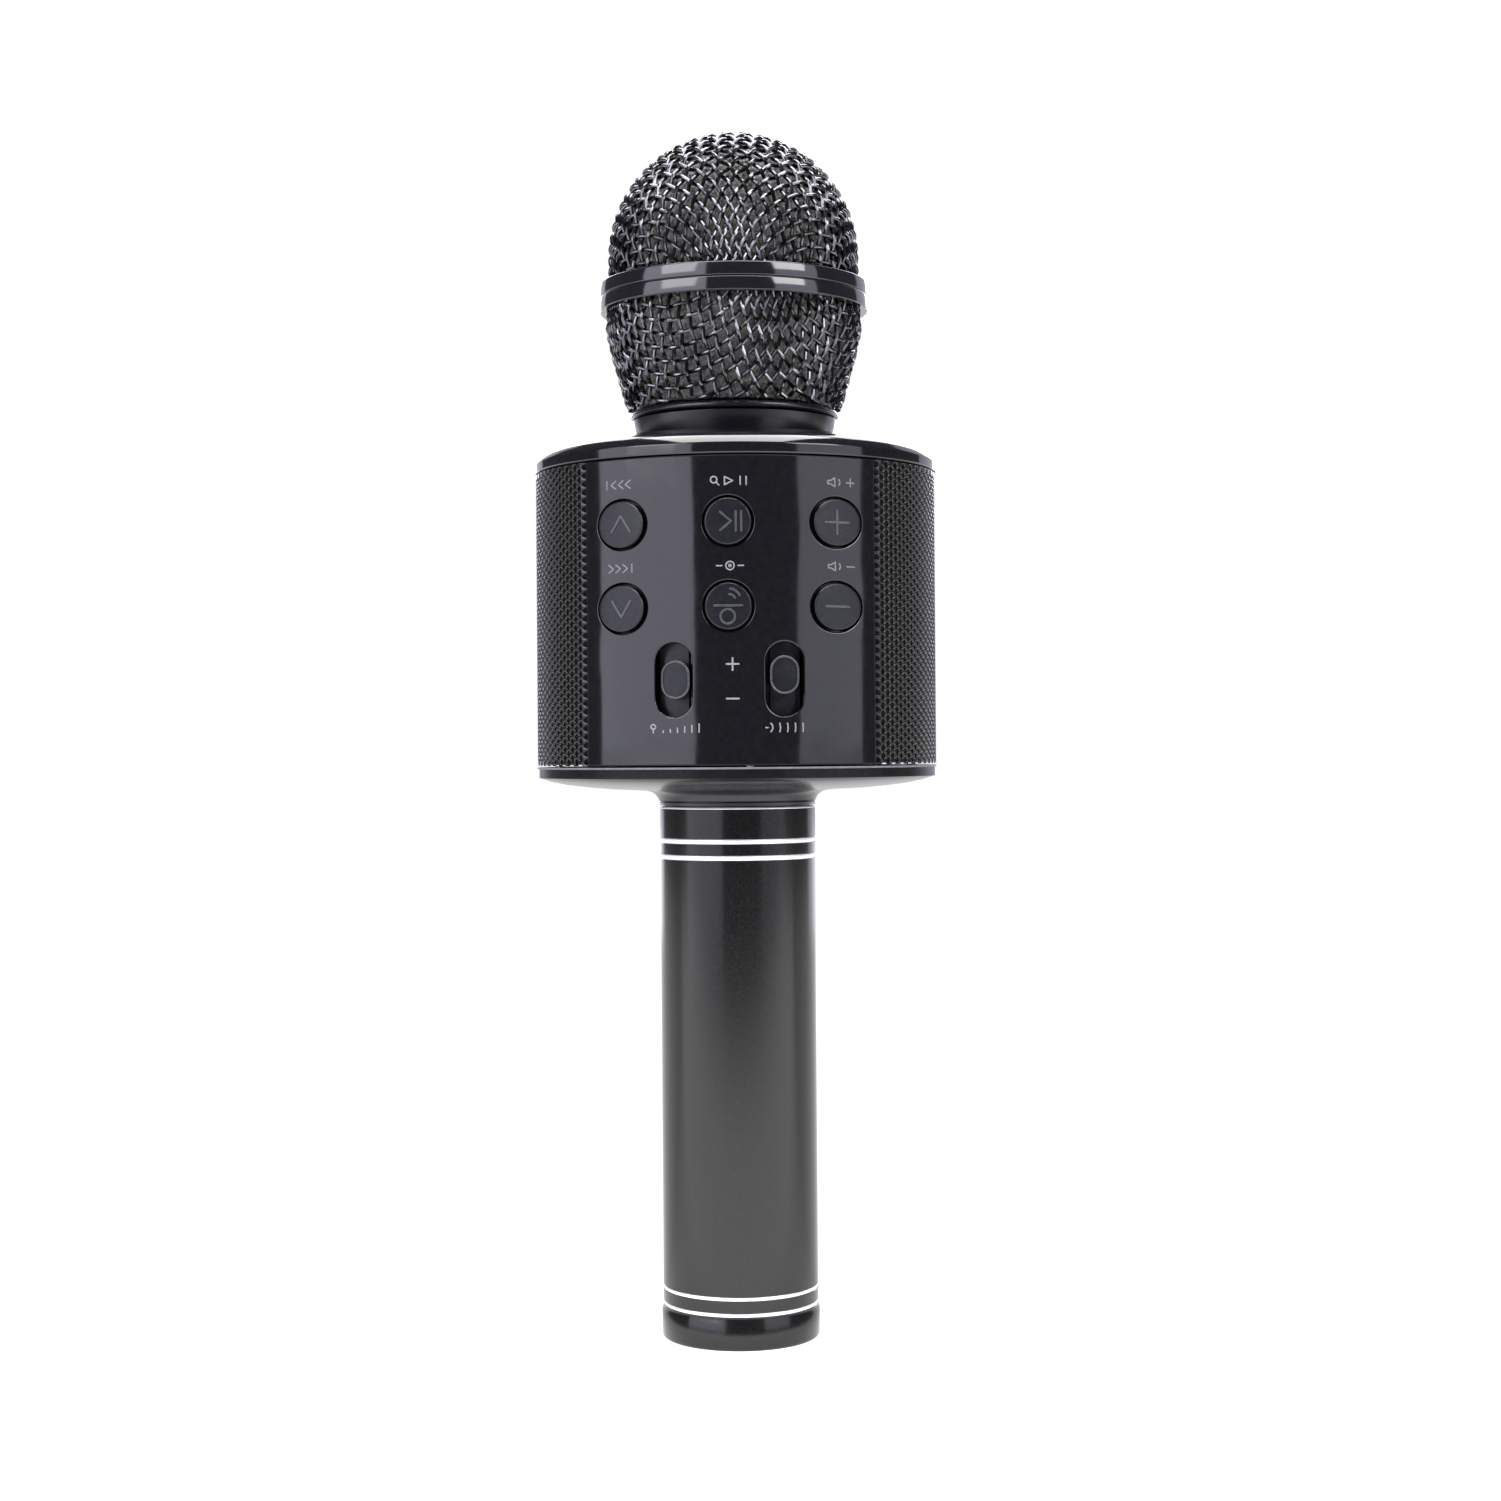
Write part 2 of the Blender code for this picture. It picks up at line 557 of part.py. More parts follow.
def make_capsule():
    turned("capsule_holder", [
        (0.0, 179.2), (15.5, 179.2), (15.5, 180.4), (9.6, 181.2), (9.6, 189.0), (8.3, 189.0), (8.3, 182.5),
        (0.0, 182.5)], "rubber", SMALL_SIDES)
    turned("mic_capsule", [
        (0.0, 182.8), (7.9, 182.8), (7.9, 191.4), (7.2, 192.0), (5.2, 192.0), (5.2, 191.2), (0.0, 191.2)],
        "plated", SMALL_SIDES)


def make_head():
    dome = elliptic_arc((0.0, DOME_CENTRE_Z), (DOME_R, DOME_R), 0.0, 90.0, 7)
    inner_r = DOME_R - MESH_WALL
    hollow = elliptic_arc((0.0, DOME_CENTRE_Z), (inner_r, inner_r), 90.0, 0.0, 7)
    dome[-1] = (0.0, DOME_CENTRE_Z + DOME_R)
    hollow[0] = (0.0, DOME_CENTRE_Z + inner_r)
    seam = HEAD_SEAM_Z + GAP / 2.0
    turned("upper_grille", [*hollow, (inner_r, seam), (DOME_R, seam), *dome], "dark_wire")
    bowl = [*BOWL, (DOME_R, HEAD_SEAM_Z - GAP / 2.0)]
    lining = [(radius - MESH_WALL, height) for radius, height in reversed(bowl)]
    turned("lower_grille", bowl + lining, "dark_wire")
    low, high = BAND_Z
    turned("grille_band", [
        (25.4, low), (BAND_R - 0.25, low), (BAND_R, low + 0.25), (BAND_R, HEAD_SEAM_Z - 0.2),
        (BAND_R - 0.25, HEAD_SEAM_Z), (BAND_R, HEAD_SEAM_Z + 0.2), (BAND_R, high - 0.25), (BAND_R - 0.25, high),
        (25.4, high)], "gloss_black")
    turned("head_ring", [
        (16.0, 179.2), (17.7, 179.2), (17.7, 183.2), (20.4, 183.2), (20.75, 183.7), (20.75, 184.1),
        (20.4, 184.6), (16.0, 184.6)], "satin_black")
    make_foam()


def make_foam():
    """The open-bottomed foam lining that stands inside both mesh halves."""
    outer_r = DOME_R - MESH_WALL - 2 * GAP
    inner_r = outer_r - FOAM_WALL
    dome = elliptic_arc((0.0, DOME_CENTRE_Z), (outer_r, outer_r), 0.0, 90.0, 5)
    hollow = elliptic_arc((0.0, DOME_CENTRE_Z), (inner_r, inner_r), 90.0, 0.0, 4)
    dome[-1] = (0.0, DOME_CENTRE_Z + outer_r)
    hollow[0] = (0.0, DOME_CENTRE_Z + inner_r)
    turned("foam_windscreen", [
        *hollow, (19.2, 200.0), (16.4, 185.2), (19.6, 185.2), (21.2, 191.3), (outer_r, 201.0), *dome], "foam")


def main():
    clear_scene()
    make_handle()
    make_battery()
    make_bottom_cover()
    make_top_cover()
    make_front_panel()
    make_rear_panel()
    make_side_grilles()
    make_chassis()
    make_screws()
    make_front_controls()
    make_rear_controls()
    make_speakers()
    make_capsule()
    make_head()


main()
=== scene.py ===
"""Looks of the karaoke microphone: woven head, perforated sides, gloss panel, keys and turned handle.

Lengths are millimetres in the row frame (+Z up, the control panel faces -Y) until a mesh is made.
Azimuths are degrees from the front (-Y) towards +X.
"""

import bisect
import json
import math

import bmesh
import bpy
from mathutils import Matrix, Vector, geometry, noise


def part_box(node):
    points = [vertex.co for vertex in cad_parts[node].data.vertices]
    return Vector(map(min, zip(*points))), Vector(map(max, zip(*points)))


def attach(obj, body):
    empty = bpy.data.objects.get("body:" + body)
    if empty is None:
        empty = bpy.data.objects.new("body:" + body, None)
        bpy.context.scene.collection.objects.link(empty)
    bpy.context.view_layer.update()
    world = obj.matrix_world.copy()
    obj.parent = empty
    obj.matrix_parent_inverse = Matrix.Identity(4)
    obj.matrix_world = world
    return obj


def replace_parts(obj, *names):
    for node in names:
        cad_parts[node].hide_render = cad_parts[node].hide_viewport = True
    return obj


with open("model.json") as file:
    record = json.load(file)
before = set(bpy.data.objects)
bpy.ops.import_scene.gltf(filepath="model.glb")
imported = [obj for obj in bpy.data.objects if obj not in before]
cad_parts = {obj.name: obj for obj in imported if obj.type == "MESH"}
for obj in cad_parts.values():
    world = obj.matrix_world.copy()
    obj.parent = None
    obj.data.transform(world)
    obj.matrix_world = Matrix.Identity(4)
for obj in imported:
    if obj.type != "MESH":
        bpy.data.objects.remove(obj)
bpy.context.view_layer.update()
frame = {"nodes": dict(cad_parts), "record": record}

MM = 0.001


def node_box(node):
    """Lowest and highest corner of a CAD node, in millimetres."""
    low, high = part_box(node)
    return [value / MM for value in low], [value / MM for value in high]


# Sizes read from the frame
_, (TUBE_R, _, TUBE_TOP) = node_box("handle_tube")
(_, _, COVER_LOW), (BODY_R, _, LOWER_EDGE) = node_box("bottom_cover")
(_, _, PANEL_LOW), (PANEL_X, _, PANEL_HIGH) = node_box("front_panel")
(_, _, UPPER_EDGE), (_, _, TOP_COVER_HIGH) = node_box("top_cover")
_, (GRILLE_R, _, _) = node_box("right_grille")
(_, _, COLLAR_LOW), (_, _, COLLAR_HIGH) = node_box("neck_collar")
(_, _, RING_LOW), (RING_R, _, RING_HIGH) = node_box("head_ring")
(_, _, BOWL_LOW), (_, _, BOWL_HIGH) = node_box("lower_grille")
(_, _, DOME_LOW), (DOME_R, _, DOME_HIGH) = node_box("upper_grille")
(_, _, BAND_LOW), (BAND_R, _, BAND_HIGH) = node_box("grille_band")
(_, _, FOAM_LOW), (FOAM_R, _, _) = node_box("foam_windscreen")
FOAM_CENTRE = DOME_HIGH - DOME_R

# Panels, keys and slide controls; sizes are (width, height)
WALL = 2.0
PANEL_HALF_ANGLE = math.degrees(math.asin(PANEL_X / BODY_R))
BUTTON_HOLE_R = 4.8
BUTTON_CAP_R = 4.35
PROUD = 0.5                     # how far the keys stand over the panel
FLANGE_DEPTH = 2.6
FLANGE = 0.8                    # its thickness
SLOT_SIZE = (7.0, 13.9)
KNOB_SIZE = (5.4, 7.2)
PLATE_SIZE = (5.6, 20.4)
SHUTTER_SIZE = (8.4, 20.0)

# The weave of the head
PITCH = 2.62
WIRE_R = 0.385
WIRE_SIDES = 8
WIRE_PIECES = 4                 # stretches between two crossings
CREST_RISE = 0.1                # how far the wires' crests stand over the CAD's smooth shells
DOME_DROP = 0.35                # how far the dome stands under the CAD's
PULL = 0.4                      # share by which the cloth stretches instead of shearing
UPPER_NET_AZIMUTH = 45.0
LOWER_NET_AZIMUTH = -28.0

# Round holes of the side grilles
HOLE_R = 0.56
HOLE_COLUMN = 1.386
HOLE_RISE = 1.6
HOLE_RIM = ((0.12, 0.03), (0.04, 0.12), (0.0, 0.5))     # (distance outside the hole, depth)
FOLD_COLUMNS = 1.3
FOLD_DEPTH = 0.9


# ---- materials

LOOKS = {}


def principled(name, colour, roughness, metallic=0.0, **sockets):
    mat = LOOKS[name] = bpy.data.materials.new(name)
    mat.use_nodes = True
    shader = mat.node_tree.nodes["Principled BSDF"]
    shader.inputs["Base Color"].default_value = (*colour, 1.0)
    shader.inputs["Roughness"].default_value = roughness
    shader.inputs["Metallic"].default_value = metallic
    for socket, value in sockets.items():
        shader.inputs[socket.replace("_", " ")].default_value = value
    return mat, mat.node_tree, shader


def noise_node(tree, scale, detail=3.0, stretch=(1.0, 1.0, 1.0)):
    """Noise fixed to the piece; scale is in features per metre."""
    coords = tree.nodes.new("ShaderNodeTexCoord")
    mapping = tree.nodes.new("ShaderNodeMapping")
    mapping.inputs["Scale"].default_value = stretch
    texture = tree.nodes.new("ShaderNodeTexNoise")
    texture.inputs["Scale"].default_value = scale
    texture.inputs["Detail"].default_value = detail
    tree.links.new(coords.outputs["Object"], mapping.inputs["Vector"])
    tree.links.new(mapping.outputs["Vector"], texture.inputs["Vector"])
    return texture.outputs["Fac"]


def spread(tree, source, low, high):
    """Map a noise, most of which lies between 0.3 and 0.7, onto the range low to high."""
    node = tree.nodes.new("ShaderNodeMapRange")
    node.inputs["From Min"].default_value = 0.3
    node.inputs["From Max"].default_value = 0.7
    node.inputs["To Min"].default_value = low
    node.inputs["To Max"].default_value = high
    tree.links.new(source, node.inputs["Value"])
    return node.outputs["Result"]


def blend_colour(tree, shader, source, dark, light, start=0.35, stop=0.65):
    """Vary the base colour between two tones."""
    ramp = tree.nodes.new("ShaderNodeValToRGB")
    for element, position, tone in zip(ramp.color_ramp.elements, (start, stop), (dark, light)):
        element.position = position
        element.color = (*tone, 1.0)
    tree.links.new(source, ramp.inputs["Fac"])
    tree.links.new(ramp.outputs["Color"], shader.inputs["Base Color"])


def bump(tree, shader, source, depth_mm, strength=1.0):
    node = tree.nodes.new("ShaderNodeBump")
    node.inputs["Strength"].default_value = strength
    node.inputs["Distance"].default_value = depth_mm * MM
    tree.links.new(source, node.inputs["Height"])
    tree.links.new(node.outputs["Normal"], shader.inputs["Normal"])


def finish(name, colour, roughness, tones, haze, relief, metallic=0.0, **sockets):
    """A look whose colour, roughness and relief follow noises; a noise is what noise_node takes.

    tones is (noise, dark, light, start, stop), haze (noise, low, high) and relief (noise, depth, strength).
    """
    _, tree, shader = principled(name, colour, roughness, metallic, **sockets)
    blend_colour(tree, shader, noise_node(tree, *tones[0]), *tones[1:])
    if haze:
        tree.links.new(spread(tree, noise_node(tree, *haze[0]), *haze[1:]), shader.inputs["Roughness"])
    bump(tree, shader, noise_node(tree, *relief[0]), *relief[1:])


def lighter(colour, share, more):
    return tuple(min(1.0, value * share + more) for value in colour)


def gloss_plastic(name, colour, roughness=0.085, shine=0.5, wave=0.03, uneven=0.3):
    """Polished moulded plastic: even colour, faint haze and the slightest unevenness."""
    finish(name, colour, roughness, ((900.0, 2.0), colour, lighter(colour, 1.25, 0.0008)),
           ((260.0, 4.0), roughness * (1.0 - uneven / 2.0), roughness * (1.0 + uneven)),
           ((70.0, 1.0), wave), Specular_IOR_Level=shine)


def satin_plastic(name, colour, roughness):
    """Spark-eroded plastic with a fine grain."""
    finish(name, colour, roughness, ((1400.0,), colour, lighter(colour, 1.4, 0.001)),
           ((500.0,), roughness * 0.8, roughness * 1.2), ((4200.0, 2.0), 0.015, 0.8))


def plain_inner(name, colour, roughness, metallic=0.0, grain=0.02):
    """Inner pieces: their own colour with fine mottling and grain."""
    finish(name, colour, roughness, ((800.0,), colour, lighter(colour, 1.3, 0.004)),
           ((500.0,), roughness * 0.8, roughness * 1.15), ((2500.0, 2.0), grain, 0.6), metallic)


def print_ink(name, colour):
    """Silk-screened ink, very slightly uneven."""
    finish(name, colour, 0.45, ((2500.0, 2.0), lighter(colour, 0.8, 0.0), colour), None,
           ((5000.0, 2.0), 0.004, 0.4))


def make_outer_looks():
    gloss_plastic("gloss_black", (0.0035, 0.0035, 0.0048), wave=0.15)
    gloss_plastic("gloss_grey", (0.008, 0.008, 0.011), 0.22, 0.24)
    gloss_plastic("band_gloss", (0.004, 0.004, 0.006), 0.085, 0.75)
    gloss_plastic("cover_gloss", (0.005, 0.005, 0.007), 0.24, 0.4, 0.001, 0.02)
    # the key signs' own lighter tone; on the slide knobs' rounded rims the same colour is a painted
    # highlight
    gloss_plastic("sign_tone_and_rim_highlight", (0.04, 0.04, 0.047), 0.25, 0.35)
    gloss_plastic("rim_black", (0.005, 0.005, 0.006), 0.3, 0.12, 0.004)
    # painted highlight: the pale colour of the bottom cover's lip stands in for the top light on its ledge
    gloss_plastic("lip_painted_highlight", (0.12, 0.12, 0.135), 0.6, 0.4, 0.001)
    gloss_plastic("lens_red", (0.35, 0.02, 0.02), 0.1)
    satin_plastic("satin_black", (0.012, 0.012, 0.014), 0.3)
    print_ink("label_ink", (0.215, 0.215, 0.225))
    print_ink("soft_ink", (0.135, 0.135, 0.145))


def make_metal_looks():
    # Black anodised aluminium with a fine sparkle
    finish("handle_black", (0.006, 0.006, 0.007), 0.14,
           ((5200.0, 2.0), (0.004, 0.004, 0.004), (0.013, 0.013, 0.014), 0.45, 0.72),
           ((2600.0,), 0.12, 0.2), ((3600.0,), 0.008, 0.5), Specular_IOR_Level=0.4)
    # Bare aluminium, turned bright in the grooves, for the cut rings; on the tube's top edge the same colour
    # is a painted highlight
    turning = (900.0, 2.0, (0.2, 0.2, 6.0))
    finish("cut_metal_and_edge_highlight", (0.86, 0.86, 0.87), 0.38, (turning, (0.78, 0.78, 0.80), (0.93, 0.93, 0.94)),
           None, (turning, 0.01, 0.4), 0.35)
    # Dark nickel on drawn steel wire, with small changes of tone along each wire
    finish("dark_wire", (0.1, 0.1, 0.11), 0.2, ((420.0,), (0.05, 0.05, 0.056), (0.12, 0.12, 0.131)),
           ((1500.0,), 0.1, 0.24), ((2600.0, 2.0), 0.012, 0.6), 1.0)
    # Black painted steel sheet
    finish("perforated_black", (0.01, 0.01, 0.01), 0.26,
           ((1300.0,), (0.004, 0.004, 0.004), (0.011, 0.011, 0.011)),
           ((800.0,), 0.16, 0.26), ((2200.0,), 0.015, 0.5), Specular_IOR_Level=0.38)


def make_soft_looks():
    # The thin black cloth behind the perforated sheet
    threads = (3000.0, 2.0, (1.0, 1.0, 2.0))
    finish("acoustic_cloth", (0.004, 0.004, 0.004), 0.9,
           (threads, (0.002, 0.002, 0.002), (0.008, 0.008, 0.008)), None, (threads, 0.03))
    # Open-cell foam: a crinkled skin of small cells; its colour follows the same noise as its relief, so
    # raised cells are painted lighter and hollows darker, a painted highlight and shade
    cells = (1150.0, 5.0)
    finish("foam", (0.03, 0.029, 0.025), 0.3,
           (cells, (0.015, 0.015, 0.013), (0.165, 0.161, 0.142), 0.36, 0.68),
           ((700.0,), 0.12, 0.4), (cells, 0.8), Specular_IOR_Level=1.0)


def make_inner_looks():
    plain_inner("inner_plastic", (0.02, 0.02, 0.02), 0.6)
    plain_inner("rubber", (0.02, 0.02, 0.02), 0.75)
    plain_inner("circuit_green", (0.01, 0.10, 0.035), 0.4)
    plain_inner("plated", (0.45, 0.45, 0.46), 0.38, 1.0, 0.002)
    plain_inner("magnet_grey", (0.07, 0.07, 0.075), 0.5, 0.5)
    plain_inner("paper_black", (0.02, 0.02, 0.02), 0.85, 0.0, 0.06)
    plain_inner("copper", (0.65, 0.28, 0.14), 0.3, 1.0)
    plain_inner("cell_wrap", (0.03, 0.10, 0.35), 0.35, 0.0, 0.005)
    plain_inner("cut_edge", (0.5, 0.5, 0.5), 0.35, 0.6)


NODE_SLOTS = {row["node"]: row["material_slot"] for row in frame["record"]["subparts"]}


# ---- mesh building

def new_object(name, data):
    obj = bpy.data.objects.new(name, data)
    bpy.context.scene.collection.objects.link(obj)
    return obj


class Shape:
    """Points and faces, in millimetres, that become one piece."""

    def __init__(self):
        self.points = []
        self.faces = []
        self.slots = []

    def add(self, points, faces, slot=0):
        start = len(self.points)
        self.points.extend(points)
        self.faces.extend([start + index for index in face] for face in faces)
        self.slots.extend([slot] * len(faces))

    def build(self, name, looks, body, sharp=35.0, barrel=False, recalculate=True):
        """Make the object, give it its materials and let it ride on a body."""
        mesh = bpy.data.meshes.new(name)
        mesh.from_pydata([[value * MM for value in point] for point in self.points], [], self.faces)
        for look in looks:
            mesh.materials.append(LOOKS[look])
        mesh.polygons.foreach_set("material_index", self.slots)
        if recalculate:
            bm = bmesh.new()
            bm.from_mesh(mesh)
            bmesh.ops.recalc_face_normals(bm, faces=bm.faces)
            bm.to_mesh(mesh)
            bm.free()
        mesh.shade_smooth()
        mesh.set_sharp_from_angle(angle=math.radians(sharp))
        if barrel:
            follow_barrel(mesh)
        obj = new_object(name, mesh)
        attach(obj, body)
        return obj


def follow_barrel(mesh):
    """Shade the faces that lie on the barrel as the true round surface."""
    alike = 0.985
    normals = [corner.vector.copy() for corner in mesh.corner_normals]
    for face in mesh.polygons:
        outward = Vector((face.center.x, face.center.y, 0.0)).normalized()
        if face.normal.dot(outward) < alike:
            continue
        for loop in face.loop_indices:
            place = mesh.vertices[mesh.loops[loop].vertex_index].co
            normals[loop] = Vector((place.x, place.y, 0.0)).normalized()
    mesh.normals_split_custom_set(normals)


def skin(rings, wrap=False):
    """Points and faces of a tube over closed rings; a ring of one point is a pole."""
    points = []
    indexed = []
    for ring in rings:
        indexed.append(list(range(len(points), len(points) + len(ring))))
        points.extend(ring)
    pairs = list(zip(indexed, indexed[1:]))
    if wrap:
        pairs.append((indexed[-1], indexed[0]))
    faces = []
    for lower, upper in pairs:
        count = max(len(lower), len(upper))
        for k in range(count):
            corners = []
            for ring, index in ((lower, k), (lower, k + 1), (upper, k + 1), (upper, k)):
                corner = ring[index % len(ring)]
                if corner not in corners:
                    corners.append(corner)
            if len(corners) > 2:
                faces.append(corners)
    if not wrap:
        faces.extend(ring for ring in (indexed[0], indexed[-1]) if len(ring) > 1)
    return points, faces


def polar(radius, azimuth, height):
    angle = math.radians(azimuth)
    return (radius * math.sin(angle), -radius * math.cos(angle), height)


def turned(shape, outline, slot=0, sides=180):
    """Turn a closed (radius, height) outline round Z; one that starts on the axis is closed by it."""
    rings = []
    for radius, height in outline:
        count = 1 if radius == 0.0 else sides
        rings.append([polar(radius, 360.0 * k / count, height) for k in range(count)])
    shape.add(*skin(rings, wrap=outline[0][0] > 0.0), slot)


def arc(x, y, half_width, start, end, steps=8, half_height=None):
    """Points of a round arc, or of an elliptical one; 0 degrees is outwards and 90 degrees up."""
    half_height = half_width if half_height is None else half_height
    points = []
    for k in range(steps + 1):
        angle = math.radians(start + (end - start) * k / steps)
        points.append((x + half_width * math.cos(angle), y + half_height * math.sin(angle)))
    return points


def soften(outline, radius, steps=3):
    """Round the corners of a closed outline; gentle bends are left alone."""
    result = []
    for k, corner in enumerate(outline):
        here = Vector(corner)
        back = Vector(outline[k - 1]) - here
        ahead = Vector(outline[(k + 1) % len(outline)]) - here
        reach = min(radius, back.length * 0.45, ahead.length * 0.45)
        if reach <= 0.0 or back.angle(ahead) > math.radians(155.0):
            result.append(corner)
            continue
        start, end = here + back.normalized() * reach, here + ahead.normalized() * reach
        for step in range(steps + 1):
            share = step / steps
            point = start.lerp(here, share).lerp(here.lerp(end, share), share)
            result.append((point.x, point.y))
    return result


# Outlines seen from the front, as (x, z) points that run anticlockwise

def circle(x, z, radius, steps):
    return arc(x, z, radius, 0.0, 360.0, steps)[:-1]


def stadium(x, z, width, height, steps=14):
    radius = width / 2.0
    rise = height / 2.0 - radius
    return arc(x, z + rise, radius, 0.0, 180.0, steps) + arc(x, z - rise, radius, 180.0, 360.0, steps)


def rectangle(x_low, x_high, z_low, z_high):
    return [(x_low, z_low), (x_high, z_low), (x_high, z_high), (x_low, z_high)]


def offset(outline, distance):
    """Move an anticlockwise outline outwards by a distance, or inwards if it is negative."""
    result = []
    for k, (x, z) in enumerate(outline):
        before, after = outline[k - 1], outline[(k + 1) % len(outline)]
        first = Vector((z - before[1], before[0] - x)).normalized()
        second = Vector((after[1] - z, x - after[0])).normalized()
        shift = (first + second) * (distance / (1.0 + first.dot(second)))
        result.append((x + shift.x, z + shift.y))
    return result


def plate(shape, outer, holes=(), top=0.0, thickness=WALL, rim=0.25, side=-1.0, slot=0,
          rim_slot=None, edge_slot=None, step=1.2):
    """A plate laid on the barrel: its front rims are rounded and it is cut straight along Y.

    top is the depth of its face under the barrel, and negative stands proud. The rounded rims take rim_slot,
    and the rim round the outside takes edge_slot if it is given.
    """
    bm = bmesh.new()
    stages = [(rim - up, rim - across) for across, up in arc(0.0, 0.0, rim, 0.0, 90.0, 3)]
    stages.append((0.0, thickness))
    loops = []
    for outline, sign in [(outer, -1.0)] + [(hole, 1.0) for hole in holes]:
        rings = []
        for inset, depth in stages:
            rings.append([bm.verts.new((x, z, top + depth)) for x, z in offset(outline, sign * inset)])
        loops.append(rings)
        for level, (upper, lower) in enumerate(zip(rings, rings[1:])):
            for k in range(len(upper)):
                after = (k + 1) % len(upper)
                face = bm.faces.new((upper[k], upper[after], lower[after], lower[k]))
                face.material_index = 0 if level == 3 else 1 if sign > 0.0 else 2
    for end in (0, -1):
        rings = [loop[end] for loop in loops]
        verts = [vert for ring in rings for vert in ring]
        flat = [[Vector((vert.co.x, vert.co.y, 0.0)) for vert in ring] for ring in rings]
        for triangle in geometry.tessellate_polygon(flat):
            bm.faces.new([verts[index] for index in triangle])
    columns = [x for x, _ in outer]
    low_x, width = min(columns), max(columns) - min(columns)
    cuts = int(width / step)
    for k in range(1, cuts + 1):
        everything = bm.verts[:] + bm.edges[:] + bm.faces[:]
        place = (low_x + width * k / (cuts + 1), 0.0, 0.0)
        bmesh.ops.bisect_plane(bm, geom=everything, dist=1e-5, plane_co=place, plane_no=(1.0, 0.0, 0.0))
    bm.verts.index_update()
    start = len(shape.points)
    for vert in bm.verts:
        x, z, depth = vert.co
        shape.points.append((x, side * math.sqrt((BODY_R - depth) ** 2 - x * x), z))
    rim_slot = slot if rim_slot is None else rim_slot
    slots = (slot, rim_slot, rim_slot if edge_slot is None else edge_slot)
    for face in bm.faces:
        shape.faces.append([start + vert.index for vert in face.verts])
        shape.slots.append(slots[face.material_index])
    bm.free()


def strokes(shape, lines, at, width, top, thickness, slot=0, side=-1.0):
    """Raised or printed lines: each is a row of (x, z) points drawn with a round pen."""
    for line in lines:
        for first, last in zip(line, line[1:]):
            heading = math.degrees(math.atan2(last[1] - first[1], last[0] - first[0]))
            outline = []
            for (x, z), start in ((last, heading - 90.0), (first, heading + 90.0)):
                outline += arc(x + at[0], z + at[1], width / 2.0, start, start + 180.0, 5)
            plate(shape, outline, (), top, thickness, min(0.06, width * 0.2), side=side, slot=slot)


# ---- woven wire

class Meridian:
    """A surface of revolution told by its outline from the pole, with distance measured along it."""

    def __init__(self, outline):
        self.outline = outline
        self.distance = [0.0]
        for (r0, z0), (r1, z1) in zip(outline, outline[1:]):
            self.distance.append(self.distance[-1] + math.hypot(r1 - r0, z1 - z0))

    def at(self, along):
        """Radius, height and outward normal (radial, vertical) at a distance from the pole."""
        along = min(max(along, 0.0), self.distance[-1] - 1e-6)
        step = bisect.bisect_right(self.distance, along) - 1
        (r0, z0), (r1, z1) = self.outline[step], self.outline[step + 1]
        length = self.distance[step + 1] - self.distance[step]
        share = (along - self.distance[step]) / length
        return r0 + (r1 - r0) * share, z0 + (z1 - z0) * share, (z0 - z1) / length, (r1 - r0) / length

    def eased(self, share):
        """The same distances on a flatter surface, whose net shears less."""
        outline = [(0.0, 0.0)]
        for step in range(1, len(self.outline)):
            run = self.distance[step] - self.distance[step - 1]
            radius = (1.0 - share) * self.outline[step][0] + share * self.distance[step]
            drop = math.sqrt(max(run * run - (radius - outline[-1][0]) ** 2, 0.0))
            outline.append((radius, outline[-1][1] - drop))
        return Meridian(outline)

    def place(self, p, q, lift=0.0):
        """The point of the surface whose flat polar place is (p, q), lifted along the normal."""
        along = math.hypot(p, q)
        radius, height, out, up = self.at(along)
        if along < 1e-9:
            return (0.0, 0.0, height + lift * up)
        reach = (radius + lift * out) / along
        return (p * reach, q * reach, height + lift * up)


def cloth_net(surface, pitch, limit):
    """Crossings of a square weave laid over the surface from its pole, every side one pitch long.

    Gives flat polar places for one quarter; the other quarters are its mirror images.
    """
    count = int(limit / pitch) + 1
    net = {}
    for i in range(count + 1):
        net[i, 0] = (i * pitch, 0.0)
        net[0, i] = (0.0, i * pitch)
    for i in range(1, count + 1):
        for j in range(1, count + 1):
            parents = [net.get(key) for key in ((i - 1, j), (i, j - 1), (i - 1, j - 1))]
            if None in parents or max(math.hypot(*parents[0]), math.hypot(*parents[1])) > limit:
                continue
            left, below, corner = parents
            guess = [left[0] + below[0] - corner[0], left[1] + below[1] - corner[1]]
            crossing = solve_crossing(surface, pitch, surface.place(*left), surface.place(*below), guess)
            if crossing:
                net[i, j] = crossing
    return net


def solve_crossing(surface, pitch, left, below, guess):
    """Newton's method for the place one pitch from both neighbours."""
    probe = 1e-5
    for _ in range(40):
        here = surface.place(*guess)
        misses = [math.dist(here, left) - pitch, math.dist(here, below) - pitch]
        if max(abs(miss) for miss in misses) < 1e-6:
            return tuple(guess)
        along_p = surface.place(guess[0] + probe, guess[1])
        along_q = surface.place(guess[0], guess[1] + probe)
        slopes = []
        for neighbour in (left, below):
            near = math.dist(here, neighbour)
            slopes.append([(math.dist(place, neighbour) - near) / probe for place in (along_p, along_q)])
        (a, b), (c, d) = slopes
        spin = a * d - b * c
        if abs(spin) < 1e-7:
            return None
        guess[0] -= (d * misses[0] - b * misses[1]) / spin
        guess[1] -= (a * misses[1] - c * misses[0]) / spin
    return None


